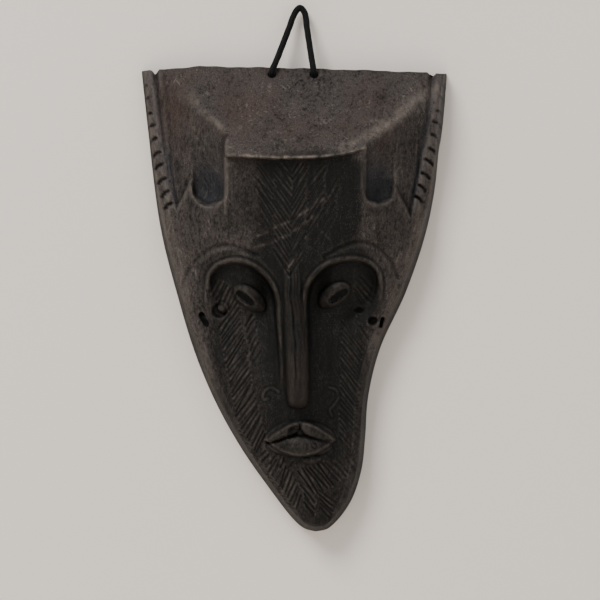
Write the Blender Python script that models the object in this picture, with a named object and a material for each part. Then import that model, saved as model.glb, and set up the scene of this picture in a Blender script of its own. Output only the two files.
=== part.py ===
"""Carved wooden wall mask, hollow behind, hung by a cord knotted through two holes.

Design values are in millimetres and become metres when a mesh is made.
Frame: the origin is where the nail's axis meets the wall. +X is the viewer's right,
+Z is up and +Y points into the wall, so the face looks along -Y. "Depth" below means
the distance that a surface stands out from the wall.
"""
import math

import bmesh
import bpy
import numpy as np
from mathutils import Vector

MM = 0.001

# Outline against the wall, as (x, z) points of smooth curves from the top corners to the chin.
LEFT_SIDE = [(-89.0, -32.6), (-85.2, -69.0), (-78.5, -121.0), (-68.7, -160.0), (-58.5, -193.0),
             (-47.0, -220.0), (-33.0, -245.0), (-17.4, -267.3), (-3.6, -285.0), (2.4, -290.0)]
RIGHT_SIDE = [(82.5, -34.0), (80.0, -66.0), (72.5, -117.0), (60.0, -156.0), (45.0, -189.0),
              (38.4, -216.0), (36.6, -240.0), (34.6, -257.0), (29.0, -274.0), (21.0, -285.5), (15.2, -290.4)]
CHIN_TIP = (8.8, -291.8)
TOP_EDGE = [(-89.0, -32.6), (-56.0, -29.9), (0.0, -31.0), (45.0, -32.4), (82.5, -34.0)]
TOP_Z = -31.0

# Depths (distance out from the wall).
TOP_DEPTH = 12.0            # thickness of the top edge
SHELF_SLOPE = 0.775         # outward per mm down, from the top edge to the brow edge
BROW_EDGE_Z = -82.7         # the brow edge's usual height; BROW_EDGE gives how it bows, as (x, z)
BROW_EDGE = [(-60.0, -83.2), (-40.5, -82.7), (-14.0, -84.2), (14.0, -83.4), (27.0, -81.2),
             (35.5, -78.8), (60.0, -78.0)]
BROW_LIP = 0.9              # the shelf ends and the face starts within this height
FACE_STATIONS = [(-83.0, 47.5), (-110.0, 45.0), (-135.0, 42.0), (-160.0, 37.5), (-185.0, 34.0),
                 (-210.0, 31.5), (-250.0, 30.5), (-275.0, 27.0), (-292.0, 21.0)]
FACE_DROP = [(-83.0, 3.0), (-110.0, 9.0), (-140.0, 15.0), (-175.0, 15.0), (-210.0, 10.0), (-292.0, 6.0)]
SIDE_DEPTH_LEFT = [(-31.0, 8.0), (-60.0, 9.0), (-95.0, 12.5), (-115.0, 14.0), (-150.0, 16.0), (-292.0, 16.0)]
SIDE_DEPTH_RIGHT = [(-31.0, 13.5), (-60.0, 16.5), (-100.0, 16.5), (-150.0, 16.0), (-292.0, 16.0)]
SIDE_SLOPE = [(-31.0, 0.80), (-110.0, 0.72), (-150.0, 0.60), (-200.0, 0.42), (-292.0, 0.40)]
WALL_DRAFT = 5.0            # the outer wall rises this much for each mm inward
TOP_DRAFT = 14.0

# Slopes beside the shelf, carved a step below the side strips and the temples, as (x, z) points.
LEFT_SLOPE = [(-80.6, -30.0), (-78.5, -50.0), (-73.5, -84.0), (-68.7, -111.0), (-60.6, -95.6),
              (-58.6, -104.0), (-50.5, -108.8), (-42.5, -106.5), (-38.0, -90.0), (-38.0, -70.0),
              (-60.0, -45.0), (-74.0, -30.0)]
RIGHT_SLOPE = [(73.4, -30.0), (71.0, -56.0), (66.5, -90.0), (61.7, -115.6), (52.2, -98.6), (50.6, -105.0),
               (43.5, -108.2), (36.5, -106.5), (33.0, -90.0), (36.0, -70.0), (52.0, -50.0), (66.0, -30.0)]
SLOPE_STEP = 3.1

# Forehead block and the scoops beside it, open at the top: (x, top z, bottom z, radius, depth).
BLOCK_LEFT = -40.5
BLOCK_RIGHT = 35.0
SCALLOPS = [(-50.2, -66.0, -100.6, 9.8, 8.5), (43.0, -66.0, -100.0, 9.2, 8.5)]

# Eye sockets, as (x, z) points round each rim, and how deep they are cut.
LEFT_SOCKET = [(-51.0, -157.0), (-49.6, -147.0), (-44.5, -142.0), (-33.0, -140.0), (-21.0, -146.0),
               (-13.5, -157.0), (-11.5, -175.0), (-11.5, -218.0), (-24.0, -232.0), (-39.0, -208.0),
               (-49.0, -182.0)]
RIGHT_SOCKET = [(2.7, -163.0), (4.6, -153.0), (12.0, -144.0), (22.0, -139.6), (36.0, -140.0),
                (43.5, -147.0), (43.0, -165.0), (35.0, -182.0), (31.0, -205.0), (22.0, -228.0),
                (6.0, -218.0), (3.5, -180.0)]
SOCKET_DEPTH = 9.0
SOCKET_BEVEL = 3.0
SOCKET_FADE = (-168.0, -222.0)

# Nose ridge: stations of (z, x, half width, height above the face).
NOSE = [(-140.0, -5.4, 6.0, 0.0), (-160.0, -5.2, 6.5, 4.0), (-190.0, -3.6, 7.4, 10.0),
        (-214.0, -2.3, 8.6, 16.5), (-220.0, -2.1, 8.2, 15.5), (-224.5, -2.1, 7.0, 0.0)]

# Lids: (x, z, tilt in degrees, half length, half width, height); the slits share x, z and tilt.
LIDS = [(-28.8, -159.0, -38.0, 10.5, 6.8, 5.5), (19.6, -158.2, 36.0, 10.0, 6.4, 5.5)]
EYE_SLITS = [(-30.4, -160.4, -38.0, 11.4, 3.4), (21.4, -159.2, 36.0, 10.4, 3.2)]

# Mouth: centre, half width, half height and height of the lips; the parting between them.
MOUTH = (0.0, -237.6, 19.5, 10.2)
LIP_HEIGHT = 7.5
PARTING = (1.1, 3.0)        # half height and depth of the groove between the lips

# Through holes beside the eyes: (x, z, tilt in degrees, length, width, inward slant in degrees).
SIDE_HOLES = [(-54.4, -172.3, -60.0, 8.4, 3.6, 24.0), (45.8, -174.0, 72.0, 6.4, 2.4, -24.0)]

# Hollow back.
RIM_WIDTH = 7.5
TOP_RIM_WIDTH = 3.0
SHELL = 8.0                 # thickness of wood left behind the face
HOLLOW_DRAFT = 1.5
TOP_HOLLOW_DRAFT = 4.0

# Grid of the carved surface: insets from the edge, then even steps across and down.
EDGE_INSETS = [0.0, 2.3, 4.4, 7.6]
MIDDLE_COLUMNS = 25
ROW_STATIONS = [-31.0, -32.2, -34.2, -36.2, -41.0, BROW_EDGE_Z, BROW_EDGE_Z - BROW_LIP, -110.0, -140.0,
                -146.0, -220.0, -224.5, -286.0]
ROW_STEP = 4.8
CHIN_ROWS = [-288.4, -290.2, -291.3]

# Hanging cord.
CORD_RADIUS = 1.75
CORD_HOLE_RADIUS = 2.35
CORD_HOLE_X = (-15.8, 7.7)
PIVOT_Y = -16.7
PIVOT_Z = -34.9
SHELF_ANGLE = math.atan(SHELF_SLOPE)
GAP = 0.3
LOOP_POINTS = [(-12.5, -13.7, -26.1), (-6.1, -7.9, -9.0), (-2.9, -5.1, -0.6), (0.0, -4.8, 2.6),
               (2.7, -5.1, -0.6), (3.9, -7.9, -9.0), (6.4, -13.7, -26.1)]
STUB_LENGTH = 9.0           # from the pivot to the knot, along the hole
KNOT_RADIUS = 3.4
KNOT_LENGTH = 6.0
TAIL_LENGTH = 2.6


def clear_scene():
    """Remove every object that is already in the scene."""
    for item in list(bpy.data.objects):
        bpy.data.objects.remove(item, do_unlink=True)


def make_material(name, colour, roughness):
    """Make a Principled material of one colour."""
    material = bpy.data.materials.new(name)
    material.use_nodes = True
    shader = material.node_tree.nodes["Principled BSDF"]
    shader.inputs["Base Color"].default_value = (*colour, 1.0)
    shader.inputs["Roughness"].default_value = roughness
    shader.inputs["Metallic"].default_value = 0.0
    material.diffuse_color = (*colour, 1.0)
    return material


def add_object(name, mesh, material):
    """Link a mesh into the scene as a named object with its material."""
    mesh.materials.append(material)
    item = bpy.data.objects.new(name, mesh)
    bpy.context.scene.collection.objects.link(item)
    return item


# ---------------------------------------------------------------- curves and distances

def smooth_curve(points, steps=12, closed=False):
    """Sample a centripetal Catmull-Rom curve through the points, steps to each span."""
    knots = np.asarray(points, dtype=float)
    if closed:
        padded = np.vstack([knots[-1], knots, knots[0], knots[1]])
    else:
        padded = np.vstack([2 * knots[0] - knots[1], knots, 2 * knots[-1] - knots[-2]])
    samples = []
    for p0, p1, p2, p3 in zip(padded, padded[1:], padded[2:], padded[3:]):
        t1 = np.linalg.norm(p1 - p0) ** 0.5
        t2 = t1 + np.linalg.norm(p2 - p1) ** 0.5
        t3 = t2 + np.linalg.norm(p3 - p2) ** 0.5
        t = np.linspace(t1, t2, steps, endpoint=False)[:, None]
        a1 = (t1 - t) / t1 * p0 + t / t1 * p1
        a2 = (t2 - t) / (t2 - t1) * p1 + (t - t1) / (t2 - t1) * p2
        a3 = (t3 - t) / (t3 - t2) * p2 + (t - t2) / (t3 - t2) * p3
        b1 = (t2 - t) / t2 * a1 + t / t2 * a2
        b2 = (t3 - t) / (t3 - t1) * a2 + (t - t1) / (t3 - t1) * a3
        samples.append((t2 - t) / (t2 - t1) * b1 + (t - t1) / (t2 - t1) * b2)
    if not closed:
        samples.append(knots[-1:])
    return np.vstack(samples)


def line_distance(x, z, line):
    """Distance from each (x, z) to a polyline."""
    best = np.full(np.shape(x), 1e9)
    for (ax, az), (bx, bz) in zip(line[:-1], line[1:]):
        dx, dz = bx - ax, bz - az
        along = ((x - ax) * dx + (z - az) * dz) / (dx * dx + dz * dz)
        along = np.clip(along, 0.0, 1.0)
        best = np.minimum(best, np.hypot(x - ax - along * dx, z - az - along * dz))
    return best


def inside_distance(x, z, loop):
    """Distance to a closed loop, positive inside it and negative outside."""
    ring = np.vstack([loop, loop[:1]])
    inside = np.zeros(np.shape(x), dtype=bool)
    for (ax, az), (bx, bz) in zip(ring[:-1], ring[1:]):
        if az == bz:
            continue
        crosses = ((az > z) != (bz > z)) & (x < (bx - ax) * (z - az) / (bz - az) + ax)
        inside ^= crosses
    distance = line_distance(x, z, ring)
    return np.where(inside, distance, -distance)


def station(z, table):
    """Read a (z, value) table, whose z falls, at each z."""
    table = np.asarray(table)
    return np.interp(-np.asarray(z), -table[:, 0], table[:, 1])


def ramp(value, low, high):
    """Smooth step from 0 at low to 1 at high."""
    t = np.clip((value - low) / (high - low), 0.0, 1.0)
    return t * t * (3.0 - 2.0 * t)


def smooth_min(a, b, width):
    """The lower of two surfaces, with their crease rounded over a width."""
    mix = np.clip(0.5 + 0.5 * (b - a) / width, 0.0, 1.0)
    return b + (a - b) * mix - width * mix * (1.0 - mix)


LEFT_EDGE = smooth_curve(LEFT_SIDE + [CHIN_TIP])
RIGHT_EDGE = smooth_curve(RIGHT_SIDE + [CHIN_TIP])
SIDES = np.vstack([LEFT_EDGE, RIGHT_EDGE[::-1][1:]])


def left_x(z):
    """X of the left outline at a height."""
    return np.interp(-z, -LEFT_EDGE[:, 1], LEFT_EDGE[:, 0])


def right_x(z):
    """X of the right outline at a height."""
    return np.interp(-z, -RIGHT_EDGE[:, 1], RIGHT_EDGE[:, 0])


def top_z(x):
    """Height of the slightly bowed top edge."""
    edge = np.asarray(TOP_EDGE)
    return np.interp(x, edge[:, 0], edge[:, 1])


def brow_z(x):
    """Height of the brow edge."""
    edge = smooth_curve(BROW_EDGE, 8)
    return np.interp(x, edge[:, 0], edge[:, 1])


# ---------------------------------------------------------------- carved surface

def rounded_body(x, z):
    """Depth of the block before the nose, lids and lips: shelf, forehead, temples and cheeks."""
    shelf = TOP_DEPTH + SHELF_SLOPE * (top_z(x) - z)
    left, right = left_x(z), right_x(z)
    centre, half = (left + right) / 2, (right - left) / 2
    face = station(z, FACE_STATIONS) - station(z, FACE_DROP) * ((x - centre) / np.maximum(half, 1.0)) ** 2
    front = np.where(z > brow_z(x) - BROW_LIP / 2, shelf, face)
    slope = station(z, SIDE_SLOPE)
    left_plane = station(z, SIDE_DEPTH_LEFT) + slope * (x - left)
    right_plane = station(z, SIDE_DEPTH_RIGHT) + slope * (right - x)
    block = ramp(x, BLOCK_LEFT - 3.0, BLOCK_LEFT + 3.0) * ramp(-x, -BLOCK_RIGHT - 3.0, -BLOCK_RIGHT + 3.0)
    block = block * ramp(z, -118.0, -104.0) * ramp(-z, 72.0, 82.0)
    sides = smooth_min(left_plane, right_plane, 4.0) - SLOPE_STEP * slopes(x, z) + 30.0 * block
    return smooth_min(front, sides, 4.0)


def slopes(x, z):
    """Share of the step taken off where the two slopes lie, eased over 2 mm inside their outlines."""
    inside = np.maximum(*(inside_distance(x, z, np.array(loop)) for loop in (LEFT_SLOPE, RIGHT_SLOPE)))
    return ramp(inside, -0.7, 1.3)


def scallops(x, z):
    """Depth cut away by the two scoops beside the forehead block, which deepen down to a round end."""
    cut = np.zeros(np.shape(x))
    for gouge_x, top, bottom, radius, depth in SCALLOPS:
        reach = line_distance(x, z, np.array([(gouge_x, top), (gouge_x, bottom)])) / radius
        run = ramp(-z, -top, -bottom - 4.0)
        cut = np.maximum(cut, run * depth * np.clip(1.0 - reach ** 2, 0.0, 1.0) ** 0.7)
    return cut


def sockets(x, z):
    """Depth cut away under the brows, fading out down the cheeks."""
    cut = np.zeros(np.shape(x))
    fade = ramp(z, SOCKET_FADE[1], SOCKET_FADE[0])
    for rim in (LEFT_SOCKET, RIGHT_SOCKET):
        inside = inside_distance(x, z, smooth_curve(rim, 4, closed=True))
        cut = np.maximum(cut, SOCKET_DEPTH * ramp(inside, 0.0, SOCKET_BEVEL) * fade)
    return cut


def nose(x, z):
    """Height of the long nose ridge above the face."""
    table = np.asarray(NOSE)
    axis, half, height = (np.interp(-z, -table[:, 0], table[:, k]) for k in (1, 2, 3))
    across = np.clip(np.abs(x - axis) / half, 0.0, 1.0)
    on_nose = (z < table[0, 0]) & (z > table[-1, 0])
    return np.where(on_nose, height * (1.0 - across ** 3), 0.0)


def lids(x, z):
    """Height of the two thick eyelids, each a tilted oval dome."""
    rise = np.zeros(np.shape(x))
    for lid_x, lid_z, tilt, half_length, half_width, height in LIDS:
        c, s = math.cos(math.radians(tilt)), math.sin(math.radians(tilt))
        along = ((x - lid_x) * c + (z - lid_z) * s) / half_length
        across = ((z - lid_z) * c - (x - lid_x) * s) / half_width
        rise = np.maximum(rise, height * np.clip(1.0 - along ** 2 - across ** 2, 0.0, 1.0) ** 0.6)
    return rise


def lips(x, z):
    """Height of the pursed lips, with the groove between them."""
    centre_x, centre_z, half_width, half_height = MOUTH
    along, across = (x - centre_x) / half_width, (z - centre_z) / half_height
    dome = LIP_HEIGHT * np.clip(1.0 - along ** 2 - across ** 2, 0.0, 1.0) ** 0.6
    groove = PARTING[1] * np.exp(-((z - centre_z) / PARTING[0]) ** 2) * (dome > 0.5)
    return dome - groove


def front_depth(x, z):
    """Depth of the finished front: the carved relief, limited by the drafted outer walls."""
    relief = rounded_body(x, z) - scallops(x, z) - sockets(x, z) + nose(x, z) + lids(x, z) + lips(x, z)
    wall = WALL_DRAFT * line_distance(x, z, SIDES)
    top_wall = TOP_DRAFT * np.maximum(top_z(x) - z, 0.0)
    return smooth_min(smooth_min(relief, wall, 1.5), top_wall, 1.0)


def back_depth(x, z):
    """Depth of the hollow behind the face: flat rim, drafted wall, then an even shell."""
    side_room = HOLLOW_DRAFT * (line_distance(x, z, SIDES) - RIM_WIDTH)
    top_room = TOP_HOLLOW_DRAFT * (top_z(x) - z - TOP_RIM_WIDTH)
    shell = rounded_body(x, z) - 0.6 * scallops(x, z) - sockets(x, z) - SHELL
    return np.maximum(np.minimum(np.minimum(side_room, top_room), shell), 0.0)


# ---------------------------------------------------------------- mask body

def row_heights():
    """Heights of the grid's rows: the stations, with even steps between them."""
    rows = []
    for high, low in zip(ROW_STATIONS[:-1], ROW_STATIONS[1:]):
        count = max(1, round((high - low) / ROW_STEP))
        rows.extend(np.linspace(high, low, count, endpoint=False))
    return np.array(rows + [ROW_STATIONS[-1]] + CHIN_ROWS)


def carved_grid():
    """Plan positions of the grid: rows from the top to the chin, columns from left to right."""
    z = row_heights()[:, None]
    left, right = left_x(z), right_x(z)
    width = right - left
    insets = np.minimum(np.array(EDGE_INSETS)[None, :], np.array([0.0, 0.06, 0.12, 0.2])[None, :] * width)
    share = np.linspace(0.0, 1.0, MIDDLE_COLUMNS + 2)[None, 1:-1]
    inner_left, inner_right = left + insets[:, -1:], right - insets[:, -1:]
    middle = inner_left + share * (inner_right - inner_left)
    x = np.hstack([left + insets, middle, (right - insets)[:, ::-1]])
    bow = (top_z(x) - TOP_Z) * ramp(z, BROW_EDGE_Z + 5.0, TOP_Z)
    bow = bow + (brow_z(x) - BROW_EDGE_Z) * np.where(
        z > BROW_EDGE_Z, ramp(z, BROW_EDGE_Z + 14.0, BROW_EDGE_Z), ramp(z, -104.0, BROW_EDGE_Z - BROW_LIP))
    return x, z + bow


def mask_mesh():
    """Close the front and hollow back over one grid; they share the outline on the wall plane."""
    x, z = carved_grid()
    front, back = front_depth(x, z), back_depth(x, z)
    rows, columns = x.shape
    edge = np.zeros(x.shape, dtype=bool)
    edge[0, :] = edge[:, 0] = edge[:, -1] = True
    front[edge] = 0.0
    back[edge] = 0.0
    build = bmesh.new()
    front_verts = [[build.verts.new((x[i, j] * MM, -front[i, j] * MM, z[i, j] * MM))
                    for j in range(columns)] for i in range(rows)]
    back_verts = [[front_verts[i][j] if edge[i, j]
                   else build.verts.new((x[i, j] * MM, -back[i, j] * MM, z[i, j] * MM))
                   for j in range(columns)] for i in range(rows)]
    tip = build.verts.new((CHIN_TIP[0] * MM, 0.0, CHIN_TIP[1] * MM))
    for i in range(rows - 1):
        for j in range(columns - 1):
            f, b = front_verts, back_verts
            build.faces.new((f[i][j], f[i + 1][j], f[i + 1][j + 1], f[i][j + 1]))
            build.faces.new((b[i][j], b[i][j + 1], b[i + 1][j + 1], b[i + 1][j]))
    for j in range(columns - 1):
        build.faces.new((front_verts[-1][j], tip, front_verts[-1][j + 1]))
        build.faces.new((back_verts[-1][j], back_verts[-1][j + 1], tip))
    bmesh.ops.triangulate(build, faces=build.faces)
    bmesh.ops.recalc_face_normals(build, faces=build.faces)
    mesh = bpy.data.meshes.new("mask_body")
    build.to_mesh(mesh)
    build.free()
    mesh.shade_smooth()
    mesh.set_sharp_from_angle(angle=math.radians(40))
    return mesh


def slot_cutter(name, centre, tilt, length, width, slant):
    """A round-ended bar along Y that pierces the shell; slant leans it towards the middle."""
    build = bmesh.new()
    straight, radius = (length - width) / 2, width / 2
    ring = []
    for end, start in ((1, -90), (-1, 90)):
        for step in range(7):
            angle = math.radians(start + 30 * step)
            ring.append((end * straight + radius * math.cos(angle), radius * math.sin(angle)))
    face = build.faces.new([build.verts.new((u * MM, 0.0, v * MM)) for u, v in ring])
    grown = bmesh.ops.extrude_face_region(build, geom=[face])
    moved = [item for item in grown["geom"] if isinstance(item, bmesh.types.BMVert)]
    bmesh.ops.translate(build, verts=moved, vec=(0.0, 90 * MM, 0.0))
    bmesh.ops.translate(build, verts=build.verts, vec=(0.0, -45 * MM, 0.0))
    bmesh.ops.recalc_face_normals(build, faces=build.faces)
    mesh = bpy.data.meshes.new(name)
    build.to_mesh(mesh)
    build.free()
    cutter = bpy.data.objects.new(name, mesh)
    bpy.context.scene.collection.objects.link(cutter)
    cutter.rotation_mode = "YXZ"
    cutter.rotation_euler = (0.0, -math.radians(tilt), -math.radians(slant))
    cutter.location = Vector(centre) * MM
    hide_cutter(cutter)
    return cutter


def hide_cutter(cutter):
    """Mark an object as a cutter, which is not part of the model."""
    cutter.hide_render = True
    cutter.display_type = "WIRE"


def cord_hole_cutter(name, x):
    """A round bar through the top of the shelf, square to the shelf's face."""
    mesh = bpy.data.meshes.new(name)
    build = bmesh.new()
    bmesh.ops.create_cone(build, cap_ends=True, segments=20, radius1=CORD_HOLE_RADIUS * MM,
                          radius2=CORD_HOLE_RADIUS * MM, depth=26 * MM)
    build.to_mesh(mesh)
    build.free()
    cutter = bpy.data.objects.new(name, mesh)
    bpy.context.scene.collection.objects.link(cutter)
    inward = hole_direction()
    cutter.rotation_mode = "QUATERNION"
    cutter.rotation_quaternion = inward.to_track_quat("Z", "X")
    cutter.location = (Vector((x, PIVOT_Y, PIVOT_Z)) + inward * 7.0) * MM
    hide_cutter(cutter)
    return cutter


def hole_direction():
    """Direction of the cord holes, from the front inward: square to the sloping shelf."""
    return Vector((0.0, math.cos(SHELF_ANGLE), -math.sin(SHELF_ANGLE)))


def mask_body(material):
    """The carved block, pierced at the eyes, beside the eyes and for the cord."""
    body = add_object("mask_body", mask_mesh(), material)
    cutters = [slot_cutter(f"eye_cutter_{k}", (x, -30.0, z), tilt, length, width, 0.0)
               for k, (x, z, tilt, length, width) in enumerate(EYE_SLITS)]
    cutters += [slot_cutter(f"side_cutter_{k}", (x, -24.0, z), tilt, length, width, slant)
                for k, (x, z, tilt, length, width, slant) in enumerate(SIDE_HOLES)]
    cutters += [cord_hole_cutter(f"cord_cutter_{k}", x) for k, x in enumerate(CORD_HOLE_X)]
    for cutter in cutters:
        cut = body.modifiers.new(cutter.name, "BOOLEAN")
        cut.operation = "DIFFERENCE"
        cut.solver = "EXACT"
        cut.object = cutter
    return body


# ---------------------------------------------------------------- cord

def hanging_cord(material):
    """The loop of cord over the nail, from just above one hole to just above the other."""
    ends = [np.array((x, PIVOT_Y, PIVOT_Z)) for x in CORD_HOLE_X]
    points = [ends[0], *map(np.array, LOOP_POINTS), ends[1]]
    route = smooth_curve(points, 16)
    clearance = CORD_RADIUS + GAP
    keep = [p for p in route if min(np.linalg.norm(p - end) for end in ends) > clearance]
    start = ends[0] + (keep[0] - ends[0]) * clearance / np.linalg.norm(keep[0] - ends[0])
    finish = ends[1] + (keep[-1] - ends[1]) * clearance / np.linalg.norm(keep[-1] - ends[1])
    line = resample(np.vstack([start, keep, finish]), 4.0)
    curve = bpy.data.curves.new("hanging_cord", "CURVE")
    curve.dimensions = "3D"
    curve.bevel_depth = CORD_RADIUS * MM
    curve.bevel_resolution = 2
    curve.use_fill_caps = True
    spline = curve.splines.new("POLY")
    spline.points.add(len(line) - 1)
    for point, place in zip(spline.points, line):
        point.co = (*(place * MM), 1.0)
    curve.materials.append(material)
    item = bpy.data.objects.new("hanging_cord", curve)
    bpy.context.scene.collection.objects.link(item)
    return item


def resample(line, spacing):
    """Space points evenly along a polyline."""
    steps = np.linalg.norm(np.diff(line, axis=0), axis=1)
    travelled = np.concatenate([[0.0], np.cumsum(steps)])
    count = max(2, round(travelled[-1] / spacing))
    wanted = np.linspace(0.0, travelled[-1], count + 1)
    return np.column_stack([np.interp(wanted, travelled, line[:, axis]) for axis in range(3)])


def cord_end_profile():
    """(distance along the hole, radius) of a cord end: ball at the pivot, cord, knot, tail."""
    ball = [(-CORD_RADIUS * math.cos(math.radians(a)), CORD_RADIUS * math.sin(math.radians(a)))
            for a in (0, 30, 60, 90)]
    middle = STUB_LENGTH + KNOT_LENGTH / 2
    knot = [(middle - KNOT_LENGTH / 2 * math.cos(math.radians(a)),
             max(KNOT_RADIUS * math.sin(math.radians(a)), CORD_RADIUS))
            for a in (27, 60, 90, 120, 153)]
    tail_end = STUB_LENGTH + KNOT_LENGTH + TAIL_LENGTH
    return ball + knot + [(tail_end, CORD_RADIUS), (tail_end, 0.0)]


def cord_end(name, x, material):
    """One end of the cord: it passes through its hole to a stopper knot and a short tail."""
    build = bmesh.new()
    profile = cord_end_profile()
    verts = [build.verts.new((radius * MM, 0.0, along * MM)) for along, radius in profile]
    edges = [build.edges.new(pair) for pair in zip(verts[:-1], verts[1:])]
    bmesh.ops.spin(build, geom=verts + edges, cent=(0, 0, 0), axis=(0, 0, 1),
                   angle=math.tau, steps=12, use_merge=True)
    bmesh.ops.remove_doubles(build, verts=build.verts, dist=1e-6)
    bmesh.ops.recalc_face_normals(build, faces=build.faces)
    mesh = bpy.data.meshes.new(name)
    build.to_mesh(mesh)
    build.free()
    mesh.shade_smooth()
    item = add_object(name, mesh, material)
    item.rotation_mode = "QUATERNION"
    item.rotation_quaternion = hole_direction().to_track_quat("Z", "X")
    item.location = Vector((x, PIVOT_Y, PIVOT_Z)) * MM
    return item


def build_mask():
    """Build every piece."""
    clear_scene()
    wood = make_material("dark_wood", (0.032, 0.027, 0.023), 0.72)
    cord = make_material("black_cord", (0.012, 0.012, 0.013), 0.85)
    mask_body(wood)
    hanging_cord(cord)
    cord_end("left_cord_end", CORD_HOLE_X[0], cord)
    cord_end("right_cord_end", CORD_HOLE_X[1], cord)


build_mask()
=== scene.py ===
"""Looks of a long carved wooden wall mask that hangs on a nail by a knotted black cord.

Carving sizes are in millimetres and become metres when a mesh is made. +X is the viewer's
right, +Z is up and +Y points into the wall. "Depth" is the distance out from the wall.
"""
import logging
import math
from collections.abc import Sequence
from dataclasses import dataclass, field
from enum import Enum
from typing import Any

import bpy
import numpy as np
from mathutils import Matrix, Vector


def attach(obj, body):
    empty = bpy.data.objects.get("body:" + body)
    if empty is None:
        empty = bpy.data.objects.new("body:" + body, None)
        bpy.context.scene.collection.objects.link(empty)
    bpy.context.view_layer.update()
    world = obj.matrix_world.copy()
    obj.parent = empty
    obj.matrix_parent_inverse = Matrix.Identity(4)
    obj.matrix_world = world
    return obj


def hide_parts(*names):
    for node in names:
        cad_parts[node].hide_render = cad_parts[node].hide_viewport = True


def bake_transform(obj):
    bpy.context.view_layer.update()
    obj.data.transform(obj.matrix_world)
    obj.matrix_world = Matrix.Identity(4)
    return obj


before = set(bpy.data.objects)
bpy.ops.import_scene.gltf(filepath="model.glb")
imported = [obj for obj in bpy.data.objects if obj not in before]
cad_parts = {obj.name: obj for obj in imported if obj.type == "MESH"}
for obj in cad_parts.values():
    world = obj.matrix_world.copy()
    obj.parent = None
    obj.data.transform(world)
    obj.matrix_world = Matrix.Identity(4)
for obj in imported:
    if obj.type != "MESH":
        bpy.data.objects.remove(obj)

LOG = logging.getLogger("carved_mask")
MM = 0.001
Array = np.ndarray
Points = Sequence[tuple[float, ...]]


class Side(Enum):
    """The viewer's left or right side of the mask."""

    LEFT = -1
    RIGHT = 1


# ------------------------------------------------------------------ curves and fields

def smooth_curve(points: Points, steps: int = 12, closed: bool = False) -> Array:
    """Sample a centripetal Catmull-Rom curve: each span blends three lines through its knots.

    Args:
        points: the knots, in two or three dimensions.
        steps: samples to each span.
        closed: whether the curve returns to its first knot.

    Returns:
        The samples, one row each.
    """
    knots = np.asarray(points, dtype=float)
    if closed:
        padded = np.vstack([knots[-1], knots, knots[0], knots[1]])
    else:
        padded = np.vstack([2 * knots[0] - knots[1], knots, 2 * knots[-1] - knots[-2]])
    samples = []
    for p0, p1, p2, p3 in zip(padded, padded[1:], padded[2:], padded[3:]):
        t1 = np.linalg.norm(p1 - p0) ** 0.5
        t2 = t1 + np.linalg.norm(p2 - p1) ** 0.5
        t3 = t2 + np.linalg.norm(p3 - p2) ** 0.5
        t = np.linspace(t1, t2, steps, endpoint=False)[:, None]
        a1 = (t1 - t) / t1 * p0 + t / t1 * p1
        a2 = (t2 - t) / (t2 - t1) * p1 + (t - t1) / (t2 - t1) * p2
        a3 = (t3 - t) / (t3 - t2) * p2 + (t - t2) / (t3 - t2) * p3
        b1 = (t2 - t) / t2 * a1 + t / t2 * a2
        b2 = (t3 - t) / (t3 - t1) * a2 + (t - t1) / (t3 - t1) * a3
        samples.append((t2 - t) / (t2 - t1) * b1 + (t - t1) / (t2 - t1) * b2)
    if not closed:
        samples.append(knots[-1:])
    return np.vstack(samples)


def line_distance(x: Array, z: Array, line: Array, reach: float = 1e9) -> Array:
    """Distance from each (x, z) to a polyline: the least distance to any of its segments.

    Args:
        x: positions across.
        z: positions up.
        line: the polyline's points.
        reach: distances past this may come back as this.

    Returns:
        The distances.
    """
    low, high = line.min(axis=0) - reach, line.max(axis=0) + reach
    near = (x >= low[0]) & (x <= high[0]) & (z >= low[1]) & (z <= high[1])
    px, pz = x[near], z[near]
    best = np.full(px.shape, float(reach))
    for (ax, az), (bx, bz) in zip(line[:-1], line[1:]):
        dx, dz = bx - ax, bz - az
        along = unit(((px - ax) * dx + (pz - az) * dz) / (dx * dx + dz * dz))
        best = np.minimum(best, np.hypot(px - ax - along * dx, pz - az - along * dz))
    result = np.full(x.shape, float(reach))
    result[near] = best
    return result


def inside_distance(x: Array, z: Array, loop: Array, reach: float = 12.0) -> Array:
    """Distance to a closed loop, positive inside it by the even-odd rule, negative outside."""
    ring = np.vstack([loop, loop[:1]])
    inside = np.zeros(x.shape, dtype=bool)
    low, high = loop.min(axis=0), loop.max(axis=0)
    near = (x >= low[0]) & (x <= high[0]) & (z >= low[1]) & (z <= high[1])
    px, pz = x[near], z[near]
    odd = np.zeros(px.shape, dtype=bool)
    for (ax, az), (bx, bz) in zip(ring[:-1], ring[1:]):
        if az != bz:
            odd ^= ((az > pz) != (bz > pz)) & (px < (bx - ax) * (pz - az) / (bz - az) + ax)
    inside[near] = odd
    return np.where(inside, 1.0, -1.0) * line_distance(x, z, ring, reach)


def station(z: Array, table: Points) -> Array:
    """Read a (z, value) table, whose z falls, with a smooth step between its rows."""
    knots = np.asarray(table, dtype=float)
    fine = np.linspace(knots[0, 0], knots[-1, 0], 400)
    values = np.interp(-fine, -knots[:, 0], knots[:, 1])
    kernel = np.hanning(21)
    values = np.convolve(np.pad(values, 10, mode="edge"), kernel / kernel.sum(), mode="valid")
    return np.interp(-z, -fine, values)


def unit(value: Array) -> Array:
    """The value kept between 0 and 1."""
    return np.clip(value, 0.0, 1.0)


def bell(value: Array, width: float) -> Array:
    """Gaussian bump: 1 where the value is 0, and 1/e where it is one width away."""
    return np.exp(-(value / width) ** 2)


def station_across(x: Array, table: Points) -> Array:
    """Read an (x, value) table, with a smooth curve through its rows."""
    knots = smooth_curve(table, 8)
    return np.interp(x, knots[:, 0], knots[:, 1])


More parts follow.
